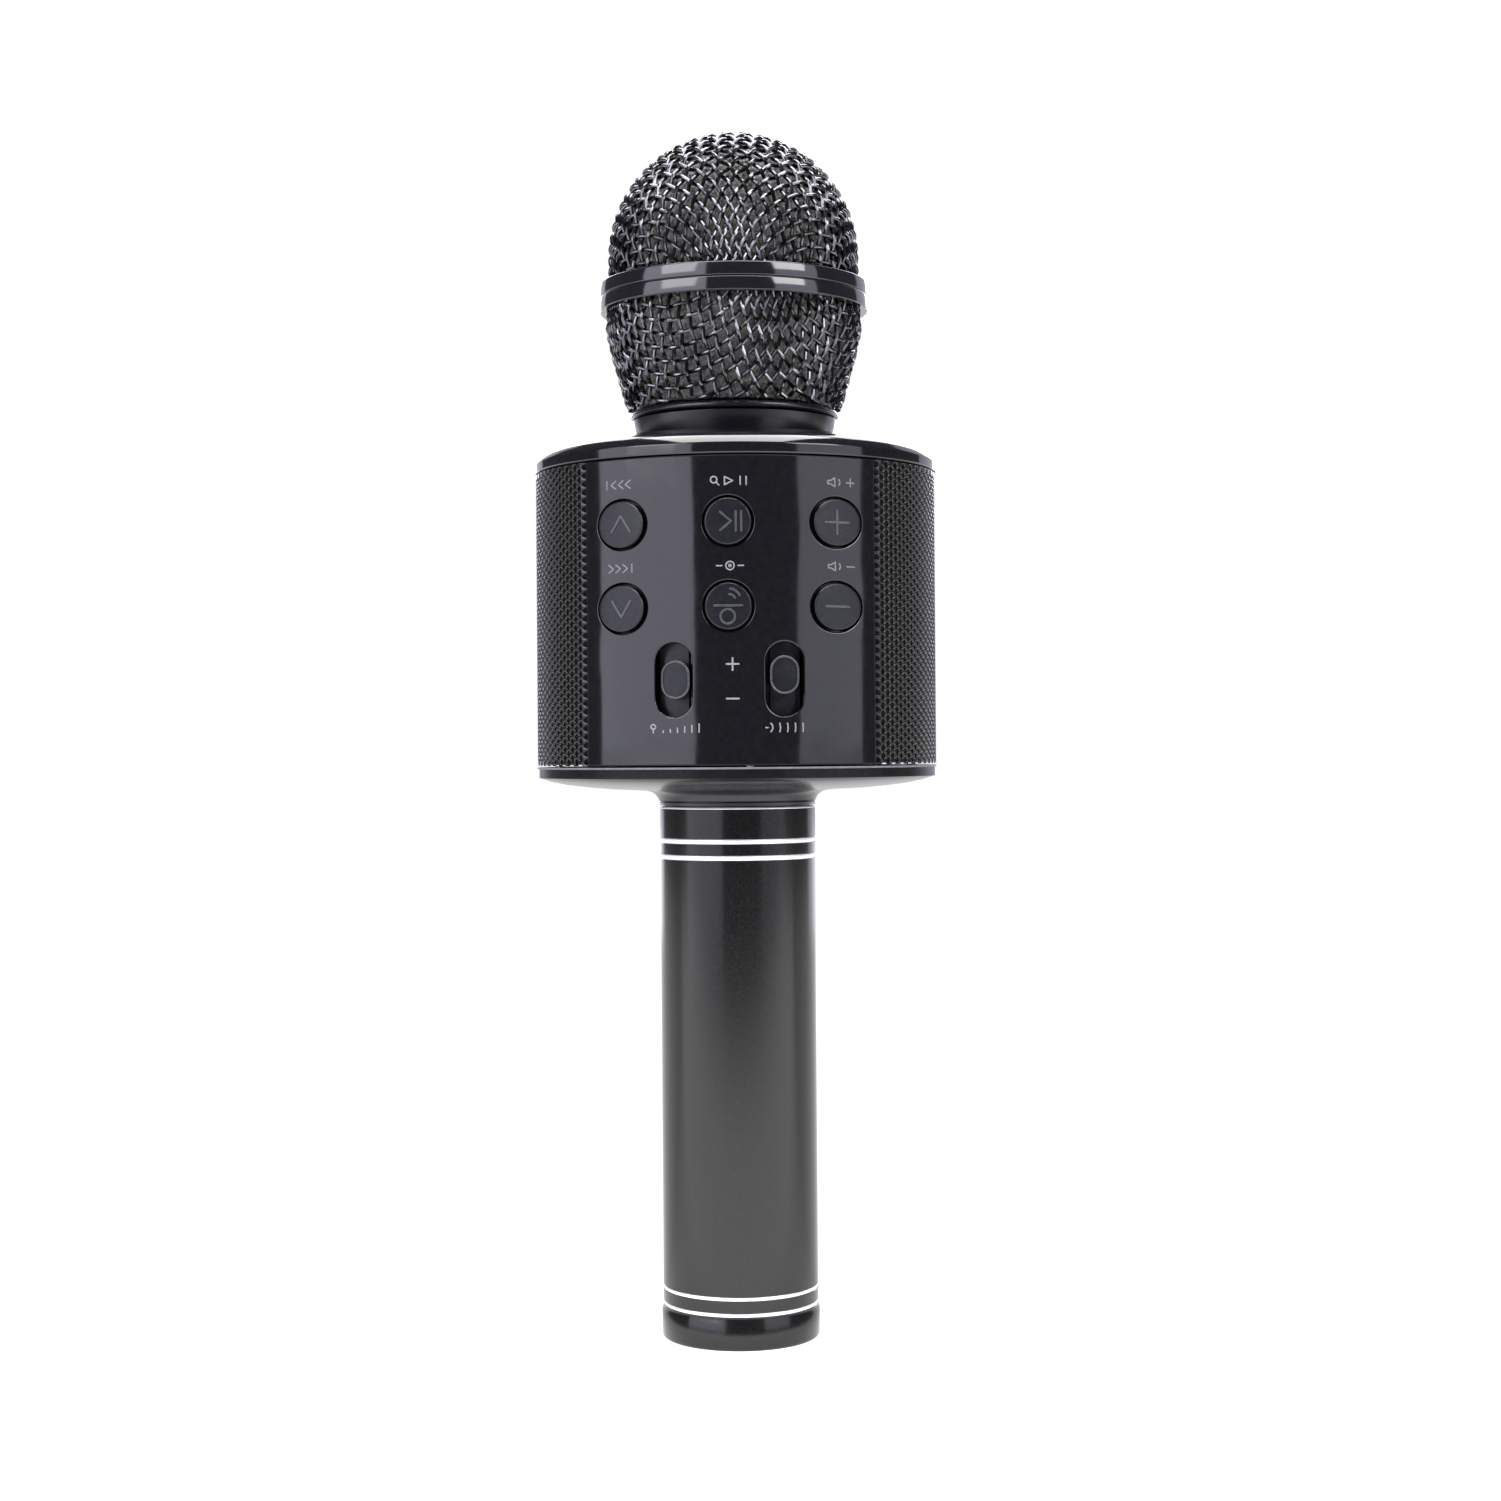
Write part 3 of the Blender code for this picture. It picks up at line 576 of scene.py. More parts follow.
def weave(shape, surface, azimuth, near, far):
    """Lay two crossing families of wires over the surface between two distances from its pole."""
    net = cloth_net(surface.eased(PULL), PITCH, far + 2.5 * PITCH)
    reach = max(key[0] for key in net)
    turn = math.radians(azimuth - 90.0)
    for family in (0, 1):
        for row in range(-reach, reach + 1):
            wire = []
            for k in range(-reach, reach + 1):
                i, j = (k, row) if family == 0 else (row, k)
                crossing = net.get((abs(i), abs(j)))
                if crossing:
                    wire.append((k, (math.copysign(crossing[0], i), math.copysign(crossing[1], j))))
            rise = WIRE_R if (row + family) % 2 == 0 else -WIRE_R
            lay_wire(shape, surface, wire, rise, turn, (near, far))


def lay_wire(shape, surface, wire, rise, turn, span):
    """Follow one wire over and under its crossings, and make a tube of each stretch that shows."""
    stretch = []
    for n in range(len(wire) - 1):
        if wire[n + 1][0] != wire[n][0] + 1:
            close_stretch(shape, stretch)
            stretch = []
            continue
        four = [Vector(wire[min(max(m, 0), len(wire) - 1)][1]) for m in (n - 1, n, n + 1, n + 2)]
        for piece in range(WIRE_PIECES):
            t = piece / WIRE_PIECES
            flat = catmull_rom(four, t)
            along = flat.length
            lift = rise * math.cos(math.pi * (wire[n][0] + t))
            if span[0] <= along <= span[1]:
                point = Vector(surface.place(flat.x, flat.y, lift))
                _, _, out, up = surface.at(along)
                tilt = out / max(along, 1e-6)
                outward = Vector((flat.x * tilt, flat.y * tilt, up))
                stretch.append((turn_round(point, turn), turn_round(outward, turn)))
            else:
                close_stretch(shape, stretch)
                stretch = []
    close_stretch(shape, stretch)


def catmull_rom(four, t):
    a, b, c, d = four
    square = (2.0 * a - 5.0 * b + 4.0 * c - d) * t * t
    cube = (3.0 * b - a - 3.0 * c + d) * t ** 3
    return 0.5 * (2.0 * b + (c - a) * t + square + cube)


def turn_round(vector, angle):
    c, s = math.cos(angle), math.sin(angle)
    return Vector((vector.x * c - vector.y * s, vector.x * s + vector.y * c, vector.z))


def close_stretch(shape, stretch):
    if len(stretch) < 3:
        return
    rings = []
    for k, (point, outward) in enumerate(stretch):
        ahead = stretch[min(k + 1, len(stretch) - 1)][0] - stretch[max(k - 1, 0)][0]
        across = ahead.cross(outward).normalized() * WIRE_R
        upright = across.cross(ahead).normalized() * WIRE_R
        rings.append([tuple(point + across * c + upright * s) for c, s in circle(0.0, 0.0, 1.0, WIRE_SIDES)])
    shape.add(*skin(rings))


# ---- the head

def make_upper_mesh():
    middle_r = DOME_R + CREST_RISE - 2.0 * WIRE_R
    centre_z = FOAM_CENTRE - DOME_DROP
    edge_z = DOME_LOW + 1.0
    outline = [(r, z) for z, r in arc(centre_z, 0.0, middle_r, 0.0, 90.0, 45)]
    surface = Meridian(outline + [(middle_r, edge_z - 7.0)])
    far = middle_r * math.pi / 2.0 + centre_z - edge_z
    shape = Shape()
    weave(shape, surface, UPPER_NET_AZIMUTH, 0.0, far)
    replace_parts(shape.build("wire_dome", ["dark_wire"], "head", recalculate=False), "upper_grille")


def make_lower_mesh():
    """The lower half is pressed from a flat disc whose middle is cut out by the neck."""
    crests = [(20.6, BOWL_LOW - 1.0), (21.3, BOWL_LOW), (22.2, 187.5), (23.2, 191.3), (24.6, 196.3),
              (25.6, 201.0), (25.4, 204.2), (DOME_R, BOWL_HIGH), (DOME_R, BOWL_HIGH + 8.0)]
    under = 2.0 * WIRE_R - CREST_RISE
    outline = [(0.0, BOWL_LOW - 2.0), (16.0, BOWL_LOW - 2.0), *((r - under, z) for r, z in crests)]
    surface = Meridian(outline)
    near = surface.distance[3]
    far = surface.distance[-2] - 1.0
    shape = Shape()
    weave(shape, surface, LOWER_NET_AZIMUTH, near, far)
    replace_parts(shape.build("wire_bowl", ["dark_wire"], "head", recalculate=False), "lower_grille")


def make_foam():
    """The foam lining, crinkled all over its outside."""
    lift, grid, thickness = 0.35, 0.9, 4.0
    outline = [(16.4, FOAM_LOW), (19.4, FOAM_LOW), (21.0, 191.3), (FOAM_R - lift, 201.0),
               *arc(0.0, FOAM_CENTRE, FOAM_R - lift, 0.0, 90.0, 40)[:-1]]
    fine = []
    for (r0, z0), (r1, z1) in zip(outline, outline[1:]):
        steps = max(1, round(math.hypot(r1 - r0, z1 - z0) / grid))
        fine += [(r0 + (r1 - r0) * k / steps, z0 + (z1 - z0) * k / steps) for k in range(steps)]
    fine += [outline[-1], (0.0, FOAM_CENTRE + FOAM_R - lift)]
    inner_r = FOAM_R - thickness
    inner = [(0.0, FOAM_CENTRE + inner_r), *arc(0.0, FOAM_CENTRE, inner_r, 85.0, 0.0, 12), (19.2, 200.0)]
    shape = Shape()
    turned(shape, inner + fine, sides=170)
    for index, point in enumerate(shape.points):
        place = Vector(point)
        if math.hypot(place.x, place.y) < 1.0:
            continue
        depth = noise.fractal(place * 0.9, 0.8, 2.0, 3) * lift
        outward = Vector((place.x, place.y, place.z - FOAM_CENTRE)).normalized()
        shape.points[index] = tuple(place + outward * depth)
    foam = shape.build("foam_lining", ["foam"], "head", sharp=180.0)
    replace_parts(foam, "foam_windscreen")


def make_band():
    """The gloss band over the seam of the two mesh halves, with a fine groove round its middle."""
    seam = (BAND_LOW + BAND_HIGH) / 2.0
    outer, inner, bend = BAND_R + 0.6, BAND_R - 0.9, 0.22
    turn_r = outer - 0.06 - bend
    outline = [(inner, BAND_LOW), (outer - 0.3, BAND_LOW)]
    for low, high in ((BAND_LOW + 0.08, seam - 0.1), (seam + 0.1, BAND_HIGH - 0.08)):
        outline += [(turn_r, low), *arc(turn_r, low + bend, bend, -75.0, 0.0, 4),
                    (outer, (low + high) / 2.0),
                    *arc(turn_r, high - bend, bend, 0.0, 75.0, 4), (turn_r, high)]
        if low < seam:
            outline.append((outer - 0.35, seam))
    outline += [(outer - 0.3, BAND_HIGH), (inner, BAND_HIGH)]
    shape = Shape()
    turned(shape, outline)
    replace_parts(shape.build("head_band", ["band_gloss"], "head"), "grille_band")


def make_neck():
    """The turned lip under the head, and the collar that its thread runs in."""
    step_z, thread_r, bore_r, seat_z = 183.2, 17.7, 16.0, 178.0
    lip = [(bore_r, RING_LOW), (thread_r, RING_LOW), (thread_r, step_z), (RING_R - 0.3, step_z),
           (RING_R, step_z + 0.4), (RING_R, step_z + 0.9), (RING_R - 0.4, RING_HIGH), (bore_r, RING_HIGH)]
    shape = Shape()
    turned(shape, soften(lip, 0.35, 4))
    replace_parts(shape.build("head_lip", ["cover_gloss"], "head_ring"), "head_ring")
    collar = [(13.0, COLLAR_LOW), (16.7, COLLAR_LOW), (16.7, seat_z), (19.0, seat_z), (20.4, COLLAR_HIGH),
              (18.0, COLLAR_HIGH), (18.0, seat_z + 0.9), (13.0, seat_z + 0.9)]
    shape = Shape()
    turned(shape, soften(collar, 0.2))
    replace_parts(shape.build("collar", ["cover_gloss"], "housing"), "neck_collar")


# ---- the speaker housing

def make_top_cover():
    """A straight side, a round shoulder and a crown that is nearly flat up to the collar."""
    turn_r, turn_start = 4.4, 25.0
    side_top, crown_z = 173.8, 177.9
    centre_r = BODY_R - turn_r * math.cos(math.radians(turn_start))
    centre_z = side_top + 0.1 - turn_r * math.sin(math.radians(turn_start))
    outline = [(33.0, UPPER_EDGE), (BODY_R - 0.2, UPPER_EDGE), (BODY_R, UPPER_EDGE + 0.25),
               (BODY_R, side_top), *arc(centre_r, centre_z, turn_r, turn_start, 79.0, 14),
               (30.0, crown_z), (29.0, crown_z + 0.05), (23.0, crown_z), (21.8, TOP_COVER_HIGH),
               (17.0, TOP_COVER_HIGH), (17.0, 175.6), (33.0, 174.4)]
    shape = Shape()
    turned(shape, outline, sides=240)
    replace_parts(shape.build("shoulder_cover", ["gloss_black"], "housing"), "top_cover")


def make_bottom_cover():
    """A straight dark rim with a lip on top coloured pale as a painted highlight, a shallow underside and a
    flare down to the handle.
    """
    rim_r, rim_low, sides = BODY_R - 0.5, LOWER_EDGE - 2.2, 240
    skirt_r, inner_r = rim_r - 0.5, 33.0
    flare = [(15.55, 106.15), (15.6, 106.75), (15.4, 106.85), (15.4, 106.95), (15.75, 107.1), (15.9, 107.6),
             (16.3, 108.2), (17.0, 108.75), (18.2, 109.1)]
    underside = [(20.0, 109.25), (25.5, 109.5), (30.0, 109.9), (34.0, 110.4), (37.0, 111.0),
                 (rim_r - 0.25, rim_low)]
    outline = [(11.6, COVER_LOW), (13.7, COVER_LOW), (13.7, TUBE_TOP + 0.15), *flare, *underside,
               (rim_r, rim_low + 0.2), (rim_r, LOWER_EDGE - 0.3), (rim_r - 0.3, LOWER_EDGE - 0.05),
               (inner_r, LOWER_EDGE - 0.05), (inner_r, 111.6), (11.6, 111.3)]
    # The lip is coloured pale: a painted highlight along the top of the rim.
    lip = [(skirt_r, LOWER_EDGE - 0.45), (rim_r + 0.06, LOWER_EDGE - 0.38), (BODY_R - 0.1, LOWER_EDGE - 0.2),
           (BODY_R - 0.15, LOWER_EDGE), (skirt_r, LOWER_EDGE)]
    rim = [(skirt_r, rim_low + 0.1), (rim_r + 0.03, rim_low + 0.1), (rim_r + 0.03, LOWER_EDGE - 0.4),
           (skirt_r, LOWER_EDGE - 0.4)]
    shape = Shape()
    for slot, ring in enumerate((outline, lip, rim)):
        turned(shape, ring, slot, sides)
    looks = ["cover_gloss", "lip_painted_highlight", "rim_black"]
    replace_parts(shape.build("lower_cover", looks, "housing"), "bottom_cover")


def middle(node):
    """The middle of a CAD node as (x, z)."""
    low, high = node_box(node)
    return (low[0] + high[0]) / 2.0, (low[2] + high[2]) / 2.0


BUTTONS = {node: middle(node) for node in frame["nodes"] if node.startswith("button_")}
SLIDERS = {node: middle(node) for node in ("slider_mic_volume", "slider_echo")}
SLOT_Z = (PANEL_LOW + PANEL_HIGH) / 2.0 - 12.8
PANEL = rectangle(-PANEL_X, PANEL_X, PANEL_LOW, PANEL_HIGH)
PANEL_LOOKS = ["gloss_black", "rim_black"]


def make_front_panel():
    holes = [circle(x, z, BUTTON_HOLE_R, 64) for x, z in BUTTONS.values()]
    holes += [stadium(x, SLOT_Z, *SLOT_SIZE, 20) for x, _ in SLIDERS.values()]
    shape = Shape()
    plate(shape, PANEL, holes, rim=0.28, edge_slot=1, step=1.0)
    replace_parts(shape.build("front_plate", PANEL_LOOKS, "housing", barrel=True), "front_panel")


def make_rear_panel():
    """Its openings are for the lens, the power switch, the card, the audio jack and the charging socket."""
    lens, switch, card, jack, charging = (middle(node)[1] for node in (
        "status_lens", "power_switch_body", "card_socket", "audio_jack", "charging_socket"))
    holes = [circle(0.0, lens, 1.4, 24), stadium(0.0, switch, 3.6, 7.6), circle(0.0, jack, 1.9, 32),
             rectangle(-6.0, 6.0, card - 1.2, card + 1.2),
             rectangle(-4.3, 4.3, charging - 1.8, charging + 1.8)]
    shape = Shape()
    plate(shape, PANEL, holes, rim=0.2, side=1.0, edge_slot=1, step=1.0)
    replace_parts(shape.build("rear_plate", PANEL_LOOKS, "housing", barrel=True), "rear_panel")


def make_buttons():
    """Each key is a cap that leans outwards a little, with its sign raised on it, and a flange under it."""
    lean, pen = 0.0125, 0.42
    for node, (x, z) in BUTTONS.items():
        shape = Shape()
        cap_x = x * (1.0 + lean)
        plate(shape, circle(cap_x, z, BUTTON_CAP_R, 56), (), -PROUD, FLANGE_DEPTH + PROUD, 0.3)
        plate(shape, circle(x, z, BUTTON_CAP_R + 0.7, 32), (), FLANGE_DEPTH, FLANGE, 0.05)
        strokes(shape, ICONS[node], (cap_x, z), pen, -PROUD - 0.13, 0.3, slot=1)
        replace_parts(shape.build("cap_" + node, ["gloss_grey", "sign_tone_and_rim_highlight"], node, barrel=True), node)


def make_sliders():
    """Each knob is a rimmed stadium on a plate, and the plate lies on a shutter that closes the slot."""
    rim, play = 0.85, 0.3
    looks = ["gloss_grey", "sign_tone_and_rim_highlight", "gloss_black"]
    for node, (x, z) in SLIDERS.items():
        shape = Shape()
        knob_x = x + play if x < 0.0 else x
        hollow = stadium(knob_x, z, KNOB_SIZE[0] - rim, KNOB_SIZE[1] - rim)
        # The knob's rounded rims take the lighter colour: a painted highlight along its edge.
        plate(shape, stadium(knob_x, z, *KNOB_SIZE), [hollow], -0.2, FLANGE_DEPTH + 0.2, 0.22, rim_slot=1)
        plate(shape, offset(hollow, 0.05), (), 0.12, FLANGE_DEPTH, 0.05)
        plate(shape, stadium(x, z, *PLATE_SIZE), (), FLANGE_DEPTH, FLANGE, 0.1)
        plate(shape, stadium(x, z, *SHUTTER_SIZE), (), FLANGE_DEPTH + FLANGE, 0.25, 0.05, slot=2)
        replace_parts(shape.build("knob_" + node, looks, node, barrel=True), node)


def make_power_switch():
    _, z = middle("power_switch_knob")
    shape = Shape()
    plate(shape, stadium(0.0, z, 3.0, 3.4), (), -0.3, FLANGE_DEPTH + 0.3, 0.15, side=1.0)
    ribs = [[(-0.7, rise), (0.7, rise)] for rise in (-0.6, 0.0, 0.6)]
    strokes(shape, ribs, (0.0, z), 0.3, -0.48, 0.3, side=1.0)
    plate(shape, stadium(0.0, z, 4.4, 12.0), (), FLANGE_DEPTH, FLANGE, 0.05, side=1.0)
    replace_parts(shape.build("switch_knob", ["satin_black"], "power_switch_knob"), "power_switch_knob")


def make_port(node, name, wall, corner, recess, tongue):
    """A metal socket behind the rear panel: a shell round a dark mouth, with or without a contact tongue."""
    low, high = node_box(node)

    def mouth(inset):
        opening = rectangle(low[0] + inset, high[0] - inset, low[2] + inset, high[2] - inset)
        return soften(opening, max(corner - inset, 0.1), 4)

    def run(outline, *places):
        return [[(x, y, z) for x, z in outline] for y in places]

    shape = Shape()
    shape.add(*skin(run(mouth(0.0), low[1], high[1]) + run(mouth(wall), high[1], high[1] - recess - 0.3)))
    shape.add(*skin(run(mouth(wall - 0.05), low[1] + 1.0, high[1] - recess)), 1)
    if tongue:
        _, z = middle(node)
        blade = rectangle(low[0] + 1.4, high[0] - 1.4, z - 0.3, z + 0.3)
        shape.add(*skin(run(blade, low[1] + 1.0, high[1] - 0.3)), 1)
    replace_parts(shape.build(name, ["plated", "inner_plastic"], "housing"), node)


def make_ports():
    make_port("card_socket", "card_port", 1.0, 0.4, 4.0, False)
    make_port("charging_socket", "charging_port", 0.35, 1.1, 2.0, True)


class Perforation:
    """A sheet of staggered round holes bent round Z, with both side edges folded inwards."""

    # A cell's corners and the middles of its sides, in columns and rows from the hole's middle
    SPOKES = [(0.5, 0.0), (0.5, 0.5), (0.0, 0.5), (-0.5, 0.5),
              (-0.5, 0.0), (-0.5, -0.5), (0.0, -0.5), (0.5, -0.5)]

    def __init__(self, first, last):
        self.first = first
        self.columns = round(math.radians(last - first) * GRILLE_R / HOLE_COLUMN)
        self.rows = round((PANEL_HIGH - PANEL_LOW) / HOLE_RISE)
        self.turn = (last - first) / self.columns
        self.rise = (PANEL_HIGH - PANEL_LOW) / self.rows
        self.shape = Shape()
        self.known = {}

    def place(self, u, v, inset):
        """A point u columns and v rows from the lower first corner, under the sheet's face."""
        edge = min(u, self.columns - u)
        fold = FOLD_DEPTH * max(0.0, 1.0 - edge / FOLD_COLUMNS) ** 2
        return polar(GRILLE_R - inset - fold, self.first + u * self.turn, PANEL_LOW + v * self.rise)

    def point(self, u, v, inset):
        key = (round(u, 4), round(v, 4), inset)
        if key not in self.known:
            self.known[key] = len(self.shape.points)
            self.shape.points.append(self.place(u, v, inset))
        return self.known[key]

    def add_face(self, corners):
        self.shape.faces.append(corners)
        self.shape.slots.append(0)

    def add_hole(self, u, v):
        """One cell: a flat web whose hole has a rounded rim and a wall."""
        width = math.radians(self.turn) * GRILLE_R
        rings = [[self.point(u + a, v + b, 0.0) for a, b in self.SPOKES]]
        for outside, inset in HOLE_RIM:
            rings.append([self.point(u + a / width, v + b / self.rise, inset)
                          for a, b in circle(0.0, 0.0, HOLE_R + outside, 8)])
        for outer, inner in zip(rings, rings[1:]):
            for k in range(8):
                after = (k + 1) % 8
                self.add_face([outer[k], outer[after], inner[after], inner[k]])

    def add_blank(self, u, low):
        """Half a cell without a hole, which fills a staggered column up to the sheet's edge."""
        for start in (u, u + 0.5):
            corners = ((start, low), (start + 0.5, low), (start + 0.5, low + 0.5), (start, low + 0.5))
            self.add_face([self.point(*corner, 0.0) for corner in corners])

    def add_edge_dash(self, u, height):
        """Bare metal on the sheet's cut edge, which shows between the holes."""
        section = rectangle(GRILLE_R - 0.3, GRILLE_R + 0.05, height - 0.13, height + 0.13)
        rings = []
        for k in range(4):
            azimuth = self.first + (u + 0.1 + 0.8 * k / 3.0) * self.turn
            rings.append([polar(radius, azimuth, z) for radius, z in section])
        self.shape.add(*skin(rings), 2)

    def fill(self):
        for column in range(self.columns):
            staggered = column % 2
            for row in range(self.rows - staggered):
                self.add_hole(column + 0.5, row + 0.5 + 0.5 * staggered)
            if staggered:
                self.add_blank(column, 0.0)
                self.add_blank(column, self.rows - 0.5)
                self.add_edge_dash(column, PANEL_LOW + 0.15)


def make_side_grilles():
    edge = PANEL_HALF_ANGLE + 0.4
    section = rectangle(38.4, 38.6, PANEL_LOW, PANEL_HIGH)
    looks = ["perforated_black", "acoustic_cloth", "cut_edge"]
    for side, first in (("right", edge), ("left", 180.0 + edge)):
        sweep = 180.0 - 2.0 * edge
        sheet = Perforation(first, first + sweep)
        sheet.fill()
        cloth = [[polar(radius, first + sweep * k / 40, z) for radius, z in section] for k in range(41)]
        sheet.shape.add(*skin(cloth), 1)
        piece = sheet.shape.build(side + "_perforated", looks, "housing", sharp=50.0)
        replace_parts(piece, side + "_grille")


# ---- marks

MINUS = [[(-0.65, 0.0), (0.65, 0.0)]]
PLUS = MINUS + [[(0.0, -0.65), (0.0, 0.65)]]


def moved(lines, shift, scale):
    return [[(x * scale + shift, z * scale) for x, z in line] for line in lines]


def skip_mark(direction):
    """Three chevrons and a bar, pointing left (-1) or right (1)."""
    lines = [[(x - 0.45 * direction, 0.75), (x + 0.45 * direction, 0.0), (x - 0.45 * direction, -0.75)]
             for x in (-1.7 * direction, -0.3 * direction, 1.1 * direction)]
    return lines + [[(2.4 * direction, 0.75), (2.4 * direction, -0.75)]]


def horn_mark(sign):
    """A small horn seen from the side, one sound wave and a plus or minus."""
    horn = [(-2.7, 0.3), (-2.2, 0.3), (-1.4, 0.8), (-1.4, -0.8), (-2.2, -0.3), (-2.7, -0.3), (-2.7, 0.3)]
    return [horn, arc(-1.2, 0.0, 0.75, -45.0, 45.0, 4)] + moved(sign, 1.5, 1.1)


def search_mark():
    """A lens on a handle, a triangle and two bars."""
    triangle = [(-0.9, 0.75), (0.6, 0.0), (-0.9, -0.75), (-0.9, 0.75)]
    return [arc(-2.9, 0.2, 0.6, 0.0, 360.0, 12), [(-2.45, -0.25), (-1.95, -0.8)], triangle,
            [(2.0, 0.75), (2.0, -0.75)], [(3.1, 0.75), (3.1, -0.75)]]


def record_mark():
    """A dot in a ring between two dashes."""
    dashes = [[(side * 1.5, 0.0), (side * 2.5, 0.0)] for side in (-1.0, 1.0)]
    return dashes + [arc(0.0, 0.0, 0.22, 0.0, 360.0, 8), arc(0.0, 0.0, 0.78, 0.0, 360.0, 14)]


def level_mark():
    """A small microphone and a row of bars that grow."""
    bars = [[(-2.4 + 1.35 * k, -0.75), (-2.4 + 1.35 * k, -0.45 + 0.24 * k)] for k in range(6)]
    return bars + [arc(-4.3, 0.3, 0.45, 0.0, 360.0, 10), [(-4.3, -0.2), (-4.3, -0.8)]]


def wave_mark():
    """Sound waves that spread from a point, all of one height."""
    waves = []
    for k in range(5):
        radius = 1.0 + 1.4 * k
        reach = math.degrees(math.asin(0.78 / radius))
        waves.append(arc(-3.6, 0.0, radius, -reach, reach, 5))
    return waves + [[(-3.9, 0.0), (-3.5, 0.0)]]


ICONS = {
    "button_previous": [[(-1.8, -1.4), (0.0, 1.6), (1.8, -1.4)]],
    "button_next": [[(-1.8, 1.4), (0.0, -1.6), (1.8, 1.4)]],
    "button_play": [[(-1.4, 1.7), (0.6, 0.0), (-1.4, -1.7)],
                    [(1.5, 1.8), (1.5, -1.8)], [(2.5, 1.8), (2.5, -1.8)]],
    "button_record": [[(-2.6, 0.1), (2.6, 0.1)], arc(-0.1, -1.9, 1.35, 0.0, 360.0, 16),
                      arc(0.2, 1.1, 2.1, 25.0, 85.0, 5), arc(0.2, 1.1, 1.1, 20.0, 90.0, 4)],
    "button_volume_up": moved(PLUS, 0.0, 3.3),
    "button_volume_down": moved(MINUS, 0.0, 3.3),
}

LABELS = {
    "button_previous": skip_mark(-1.0),
    "button_next": skip_mark(1.0),
    "button_play": search_mark(),
    "button_record": record_mark(),
    "button_volume_up": horn_mark(PLUS),
    "button_volume_down": horn_mark(MINUS),
    "slider_mic_volume": level_mark(),
    "slider_echo": wave_mark(),
}


def make_marks():
    """Printed marks: a pictogram over each key and under each slide control, plus and minus between."""
    shape = Shape()
    pen, film, thickness = 0.27, -0.03, 0.06
    above_key, below_slot, outward, shift = 7.5, 9.0, 0.045, 0.35
    for node, (x, z) in BUTTONS.items():
        soft = 1 if abs(x) > BUTTON_HOLE_R else 0
        at = (x * (1.0 + outward) + shift, z + above_key)
        strokes(shape, LABELS[node], at, pen, film, thickness, slot=soft)
    for node, (x, _) in SLIDERS.items():
        strokes(shape, LABELS[node], (x + shift, SLOT_Z - below_slot), pen, film, thickness)
    for sign, rise in ((PLUS, 2.8), (MINUS, -3.6)):
        strokes(shape, moved(sign, 0.0, 1.75), (2.0 * shift, SLOT_Z + rise), 0.34, film, thickness)
    shape.build("printed_marks", ["label_ink", "soft_ink"], "housing")


# ---- the handle

def make_handle():
    """The anodised tube; bright rings are cut into it near both ends, and its top edge is coloured bright
    metal as a painted highlight.
    """
    foot_r, foot_top, foot_bend, bore_r, sides = TUBE_R + 0.3, 5.6, 0.8, 14.0, 200
    rings = ((7.0, 0.7), (10.15, 0.7), (96.0, 0.9), (99.2, 0.9))
    bevel, floor_r = 0.12, TUBE_R - 0.18
    outline = [(bore_r, 0.0), (foot_r - foot_bend, 0.0),
               *arc(foot_r - foot_bend, foot_bend, foot_bend, -80.0, 0.0, 6),
               (foot_r, foot_top), (TUBE_R, foot_top + 0.5)]
    crowns = []
    for middle_z, width in rings:
        low, high = middle_z - width / 2.0, middle_z + width / 2.0
        outline += [(TUBE_R, low - bevel), (floor_r, low), (floor_r, high), (TUBE_R, high + bevel)]
        crown = arc(floor_r + 0.02, middle_z, 0.14, -80.0, 80.0, 6, width / 2.0)
        crowns.append([(floor_r - 0.1, low), *crown, (floor_r - 0.1, high)])
    outline += [(TUBE_R, TUBE_TOP - 0.42), (TUBE_R - 0.3, TUBE_TOP - 0.2), (bore_r, TUBE_TOP - 0.2)]
    # painted highlight: the top edge is a thin sheath in the bright metal colour
    edge = [(14.2, TUBE_TOP - 0.18), (TUBE_R - 0.32, TUBE_TOP - 0.18), (TUBE_R - 0.08, TUBE_TOP - 0.36),
            (TUBE_R - 0.05, TUBE_TOP - 0.25), (TUBE_R - 0.3, TUBE_TOP), (14.2, TUBE_TOP)]
    shape = Shape()
    turned(shape, outline, sides=sides)
    for ring in [*crowns, edge]:
        turned(shape, ring, 1, sides)
    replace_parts(shape.build("handle", ["handle_black", "cut_metal_and_edge_highlight"], "housing"), "handle_tube")


# ---- carried-over nodes, studio, camera

def dress_cad_nodes():
    """Give every CAD node the finish that its record names."""
    for node, obj in frame["nodes"].items():
        look = LOOKS[NODE_SLOTS[node]]
        if not obj.data.materials:
            obj.data.materials.append(look)
        for index in range(len(obj.data.materials)):
            obj.data.materials[index] = look


def add_box(name, location, aim, size, radiance, tint=(1.0, 1.0, 1.0)):
    """A rectangular soft box that the camera doesn't see; its size is across and up."""
    data = bpy.data.lights.new(name, "AREA")
    data.shape = "RECTANGLE"
    data.size, data.size_y = size
    data.energy = radiance * math.pi * size[0] * size[1]
    data.color = tint
    light = new_object(name, data)
    light.location = location
    light.rotation_euler = (aim - location).to_track_quat("-Z", "Y").to_euler()
    light.visible_camera = False


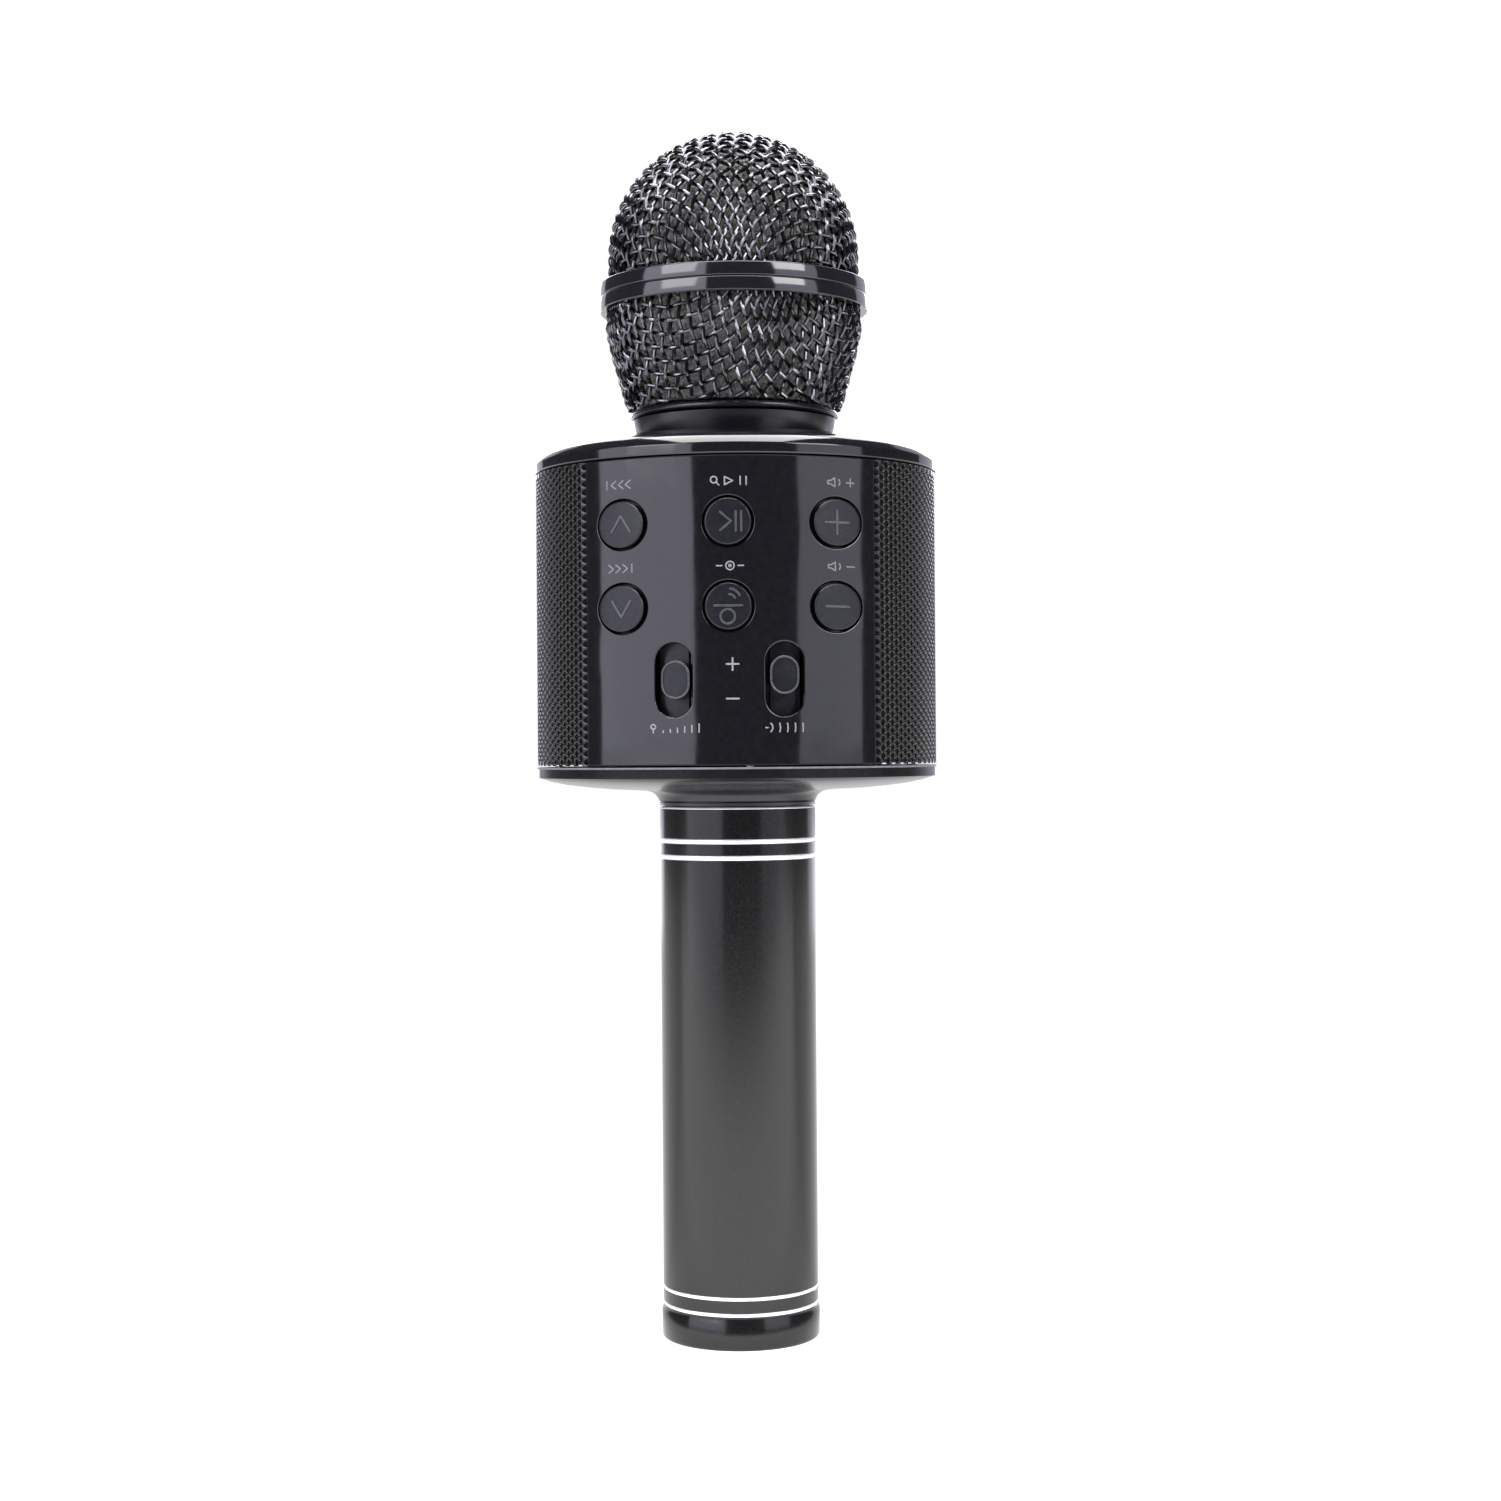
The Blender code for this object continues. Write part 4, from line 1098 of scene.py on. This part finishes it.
UPRIGHT_BOXES = (
    # name, azimuth, distance, low and high edge, width, radiance; in metres
    ("left_box", -49.7, 0.95, 0.1, 0.9, 1.05, 2.8),
    ("left_low_box", -49.7, 0.95, 0.0, 0.1, 1.05, 1.5),
    ("right_box", 56.3, 0.95, 0.1, 0.9, 0.68, 1.85),
    ("right_low_box", 56.3, 0.95, 0.0, 0.1, 0.68, 0.5),
    ("rear_left_box", -155.0, 1.1, 0.0, 1.0, 0.6, 1.2),
    ("rear_right_box", 148.0, 1.1, 0.0, 1.0, 0.7, 1.0),
)
HIGH_BOXES = (
    # name, azimuth, elevation, distance, size, radiance; seen from the middle of the head and housing
    ("right_high_box", 50.0, 27.5, 0.93, (0.45, 0.48), 7.5),
    ("left_high_box", -45.0, 25.0, 0.93, (0.5, 0.54), 4.0),
    ("overhead_box", 0.0, 90.0, 0.95, (0.75, 0.96), 12.0),
    ("back_box", 180.0, 33.0, 0.95, (0.85, 0.94), 6.0),
)


def make_lights():
    cool = (0.86, 0.85, 1.0)
    for name, azimuth, distance, low, high, width, radiance in UPRIGHT_BOXES:
        height = (low + high) / 2.0
        place, aim = Vector(polar(distance, azimuth, height)), Vector((0.0, 0.0, height))
        add_box(name, place, aim, (width, high - low), radiance, cool)
    aim = Vector((0.0, 0.0, 0.15))
    for name, azimuth, elevation, distance, size, radiance in HIGH_BOXES:
        rise = math.radians(elevation)
        place = aim + Vector(polar(distance * math.cos(rise), azimuth, distance * math.sin(rise)))
        add_box(name, place, aim, size, radiance)


def make_world():
    """A white surround for the camera, and a dim one for everything that the object reflects."""
    world = bpy.data.worlds.new("studio")
    world.use_nodes = True
    tree = world.node_tree
    tree.nodes.clear()
    output = tree.nodes.new("ShaderNodeOutputWorld")
    seen = tree.nodes.new("ShaderNodeBackground")
    seen.inputs["Color"].default_value = (1.0, 1.0, 1.0, 1.0)
    ambient = tree.nodes.new("ShaderNodeBackground")
    ambient.inputs["Color"].default_value = (0.9, 0.9, 1.0, 1.0)
    ambient.inputs["Strength"].default_value = 0.12
    choice = tree.nodes.new("ShaderNodeMixShader")
    path = tree.nodes.new("ShaderNodeLightPath")
    tree.links.new(path.outputs["Is Camera Ray"], choice.inputs[0])
    tree.links.new(ambient.outputs[0], choice.inputs[1])
    tree.links.new(seen.outputs[0], choice.inputs[2])
    tree.links.new(choice.outputs[0], output.inputs["Surface"])
    bpy.context.scene.world = world


def make_floor():
    """A white table top just under the handle; it ends in front, where the camera doesn't see it.

    It glows, most brightly in a band between its front edge and the handle under the soft boxes: a painted
    pool of light.
    """
    front, back, half, drop, peak = -0.68, 3.0, 1.6, -0.0002, 2.5
    length = back - front
    mesh = bpy.data.meshes.new("floor")
    corners = [(0.0, -half, 0.0), (length, -half, 0.0), (length, half, 0.0), (0.0, half, 0.0)]
    mesh.from_pydata(corners, [], [(0, 1, 2, 3)])
    mat, tree, shader = principled("floor", (0.06, 0.06, 0.06), 0.8, Specular_IOR_Level=0.0)
    shader.inputs["Emission Strength"].default_value = peak
    coords = tree.nodes.new("ShaderNodeTexCoord")
    fade = tree.nodes.new("ShaderNodeTexGradient")
    ramp = tree.nodes.new("ShaderNodeValToRGB")
    first, last = ramp.color_ramp.elements
    first.color = last.color = (1.0 / peak, 1.0 / peak, 1.0 / peak, 1.0)
    last.position = 0.72
    # painted pool of light: the glow rises to its peak between 0.40 and 0.62 m from the front edge
    for position in (0.40, 0.62):
        ramp.color_ramp.elements.new(position).color = (1.0, 1.0, 1.0, 1.0)
    tree.links.new(coords.outputs["Object"], fade.inputs["Vector"])
    tree.links.new(fade.outputs["Fac"], ramp.inputs["Fac"])
    tree.links.new(ramp.outputs["Color"], shader.inputs["Emission Color"])
    mesh.materials.append(mat)
    floor = new_object("floor", mesh)
    floor.location = (0.0, front, drop)
    floor.rotation_euler = (0.0, 0.0, math.pi / 2.0)


def make_camera():
    data = bpy.data.cameras.new("camera")
    data.sensor_width = 36.0
    data.lens = 61.0
    data.shift_x = 0.009
    data.clip_start = 0.01
    camera = new_object("camera", data)
    azimuth, distance, height, roll = 2.0, 0.51, 0.117, math.radians(-0.43)
    camera.location = polar(distance, azimuth, height)
    camera.rotation_euler = (math.pi / 2.0, -roll, math.radians(azimuth))
    bpy.context.scene.camera = camera


for make in (
        make_outer_looks, make_metal_looks, make_soft_looks, make_inner_looks, dress_cad_nodes,
        make_upper_mesh, make_lower_mesh, make_foam, make_band, make_neck, make_top_cover, make_bottom_cover,
        make_front_panel, make_rear_panel, make_side_grilles, make_buttons, make_sliders, make_power_switch,
        make_ports, make_marks, make_handle, make_world, make_floor, make_lights, make_camera):
    make()
bpy.context.scene.view_settings.view_transform = "Standard"
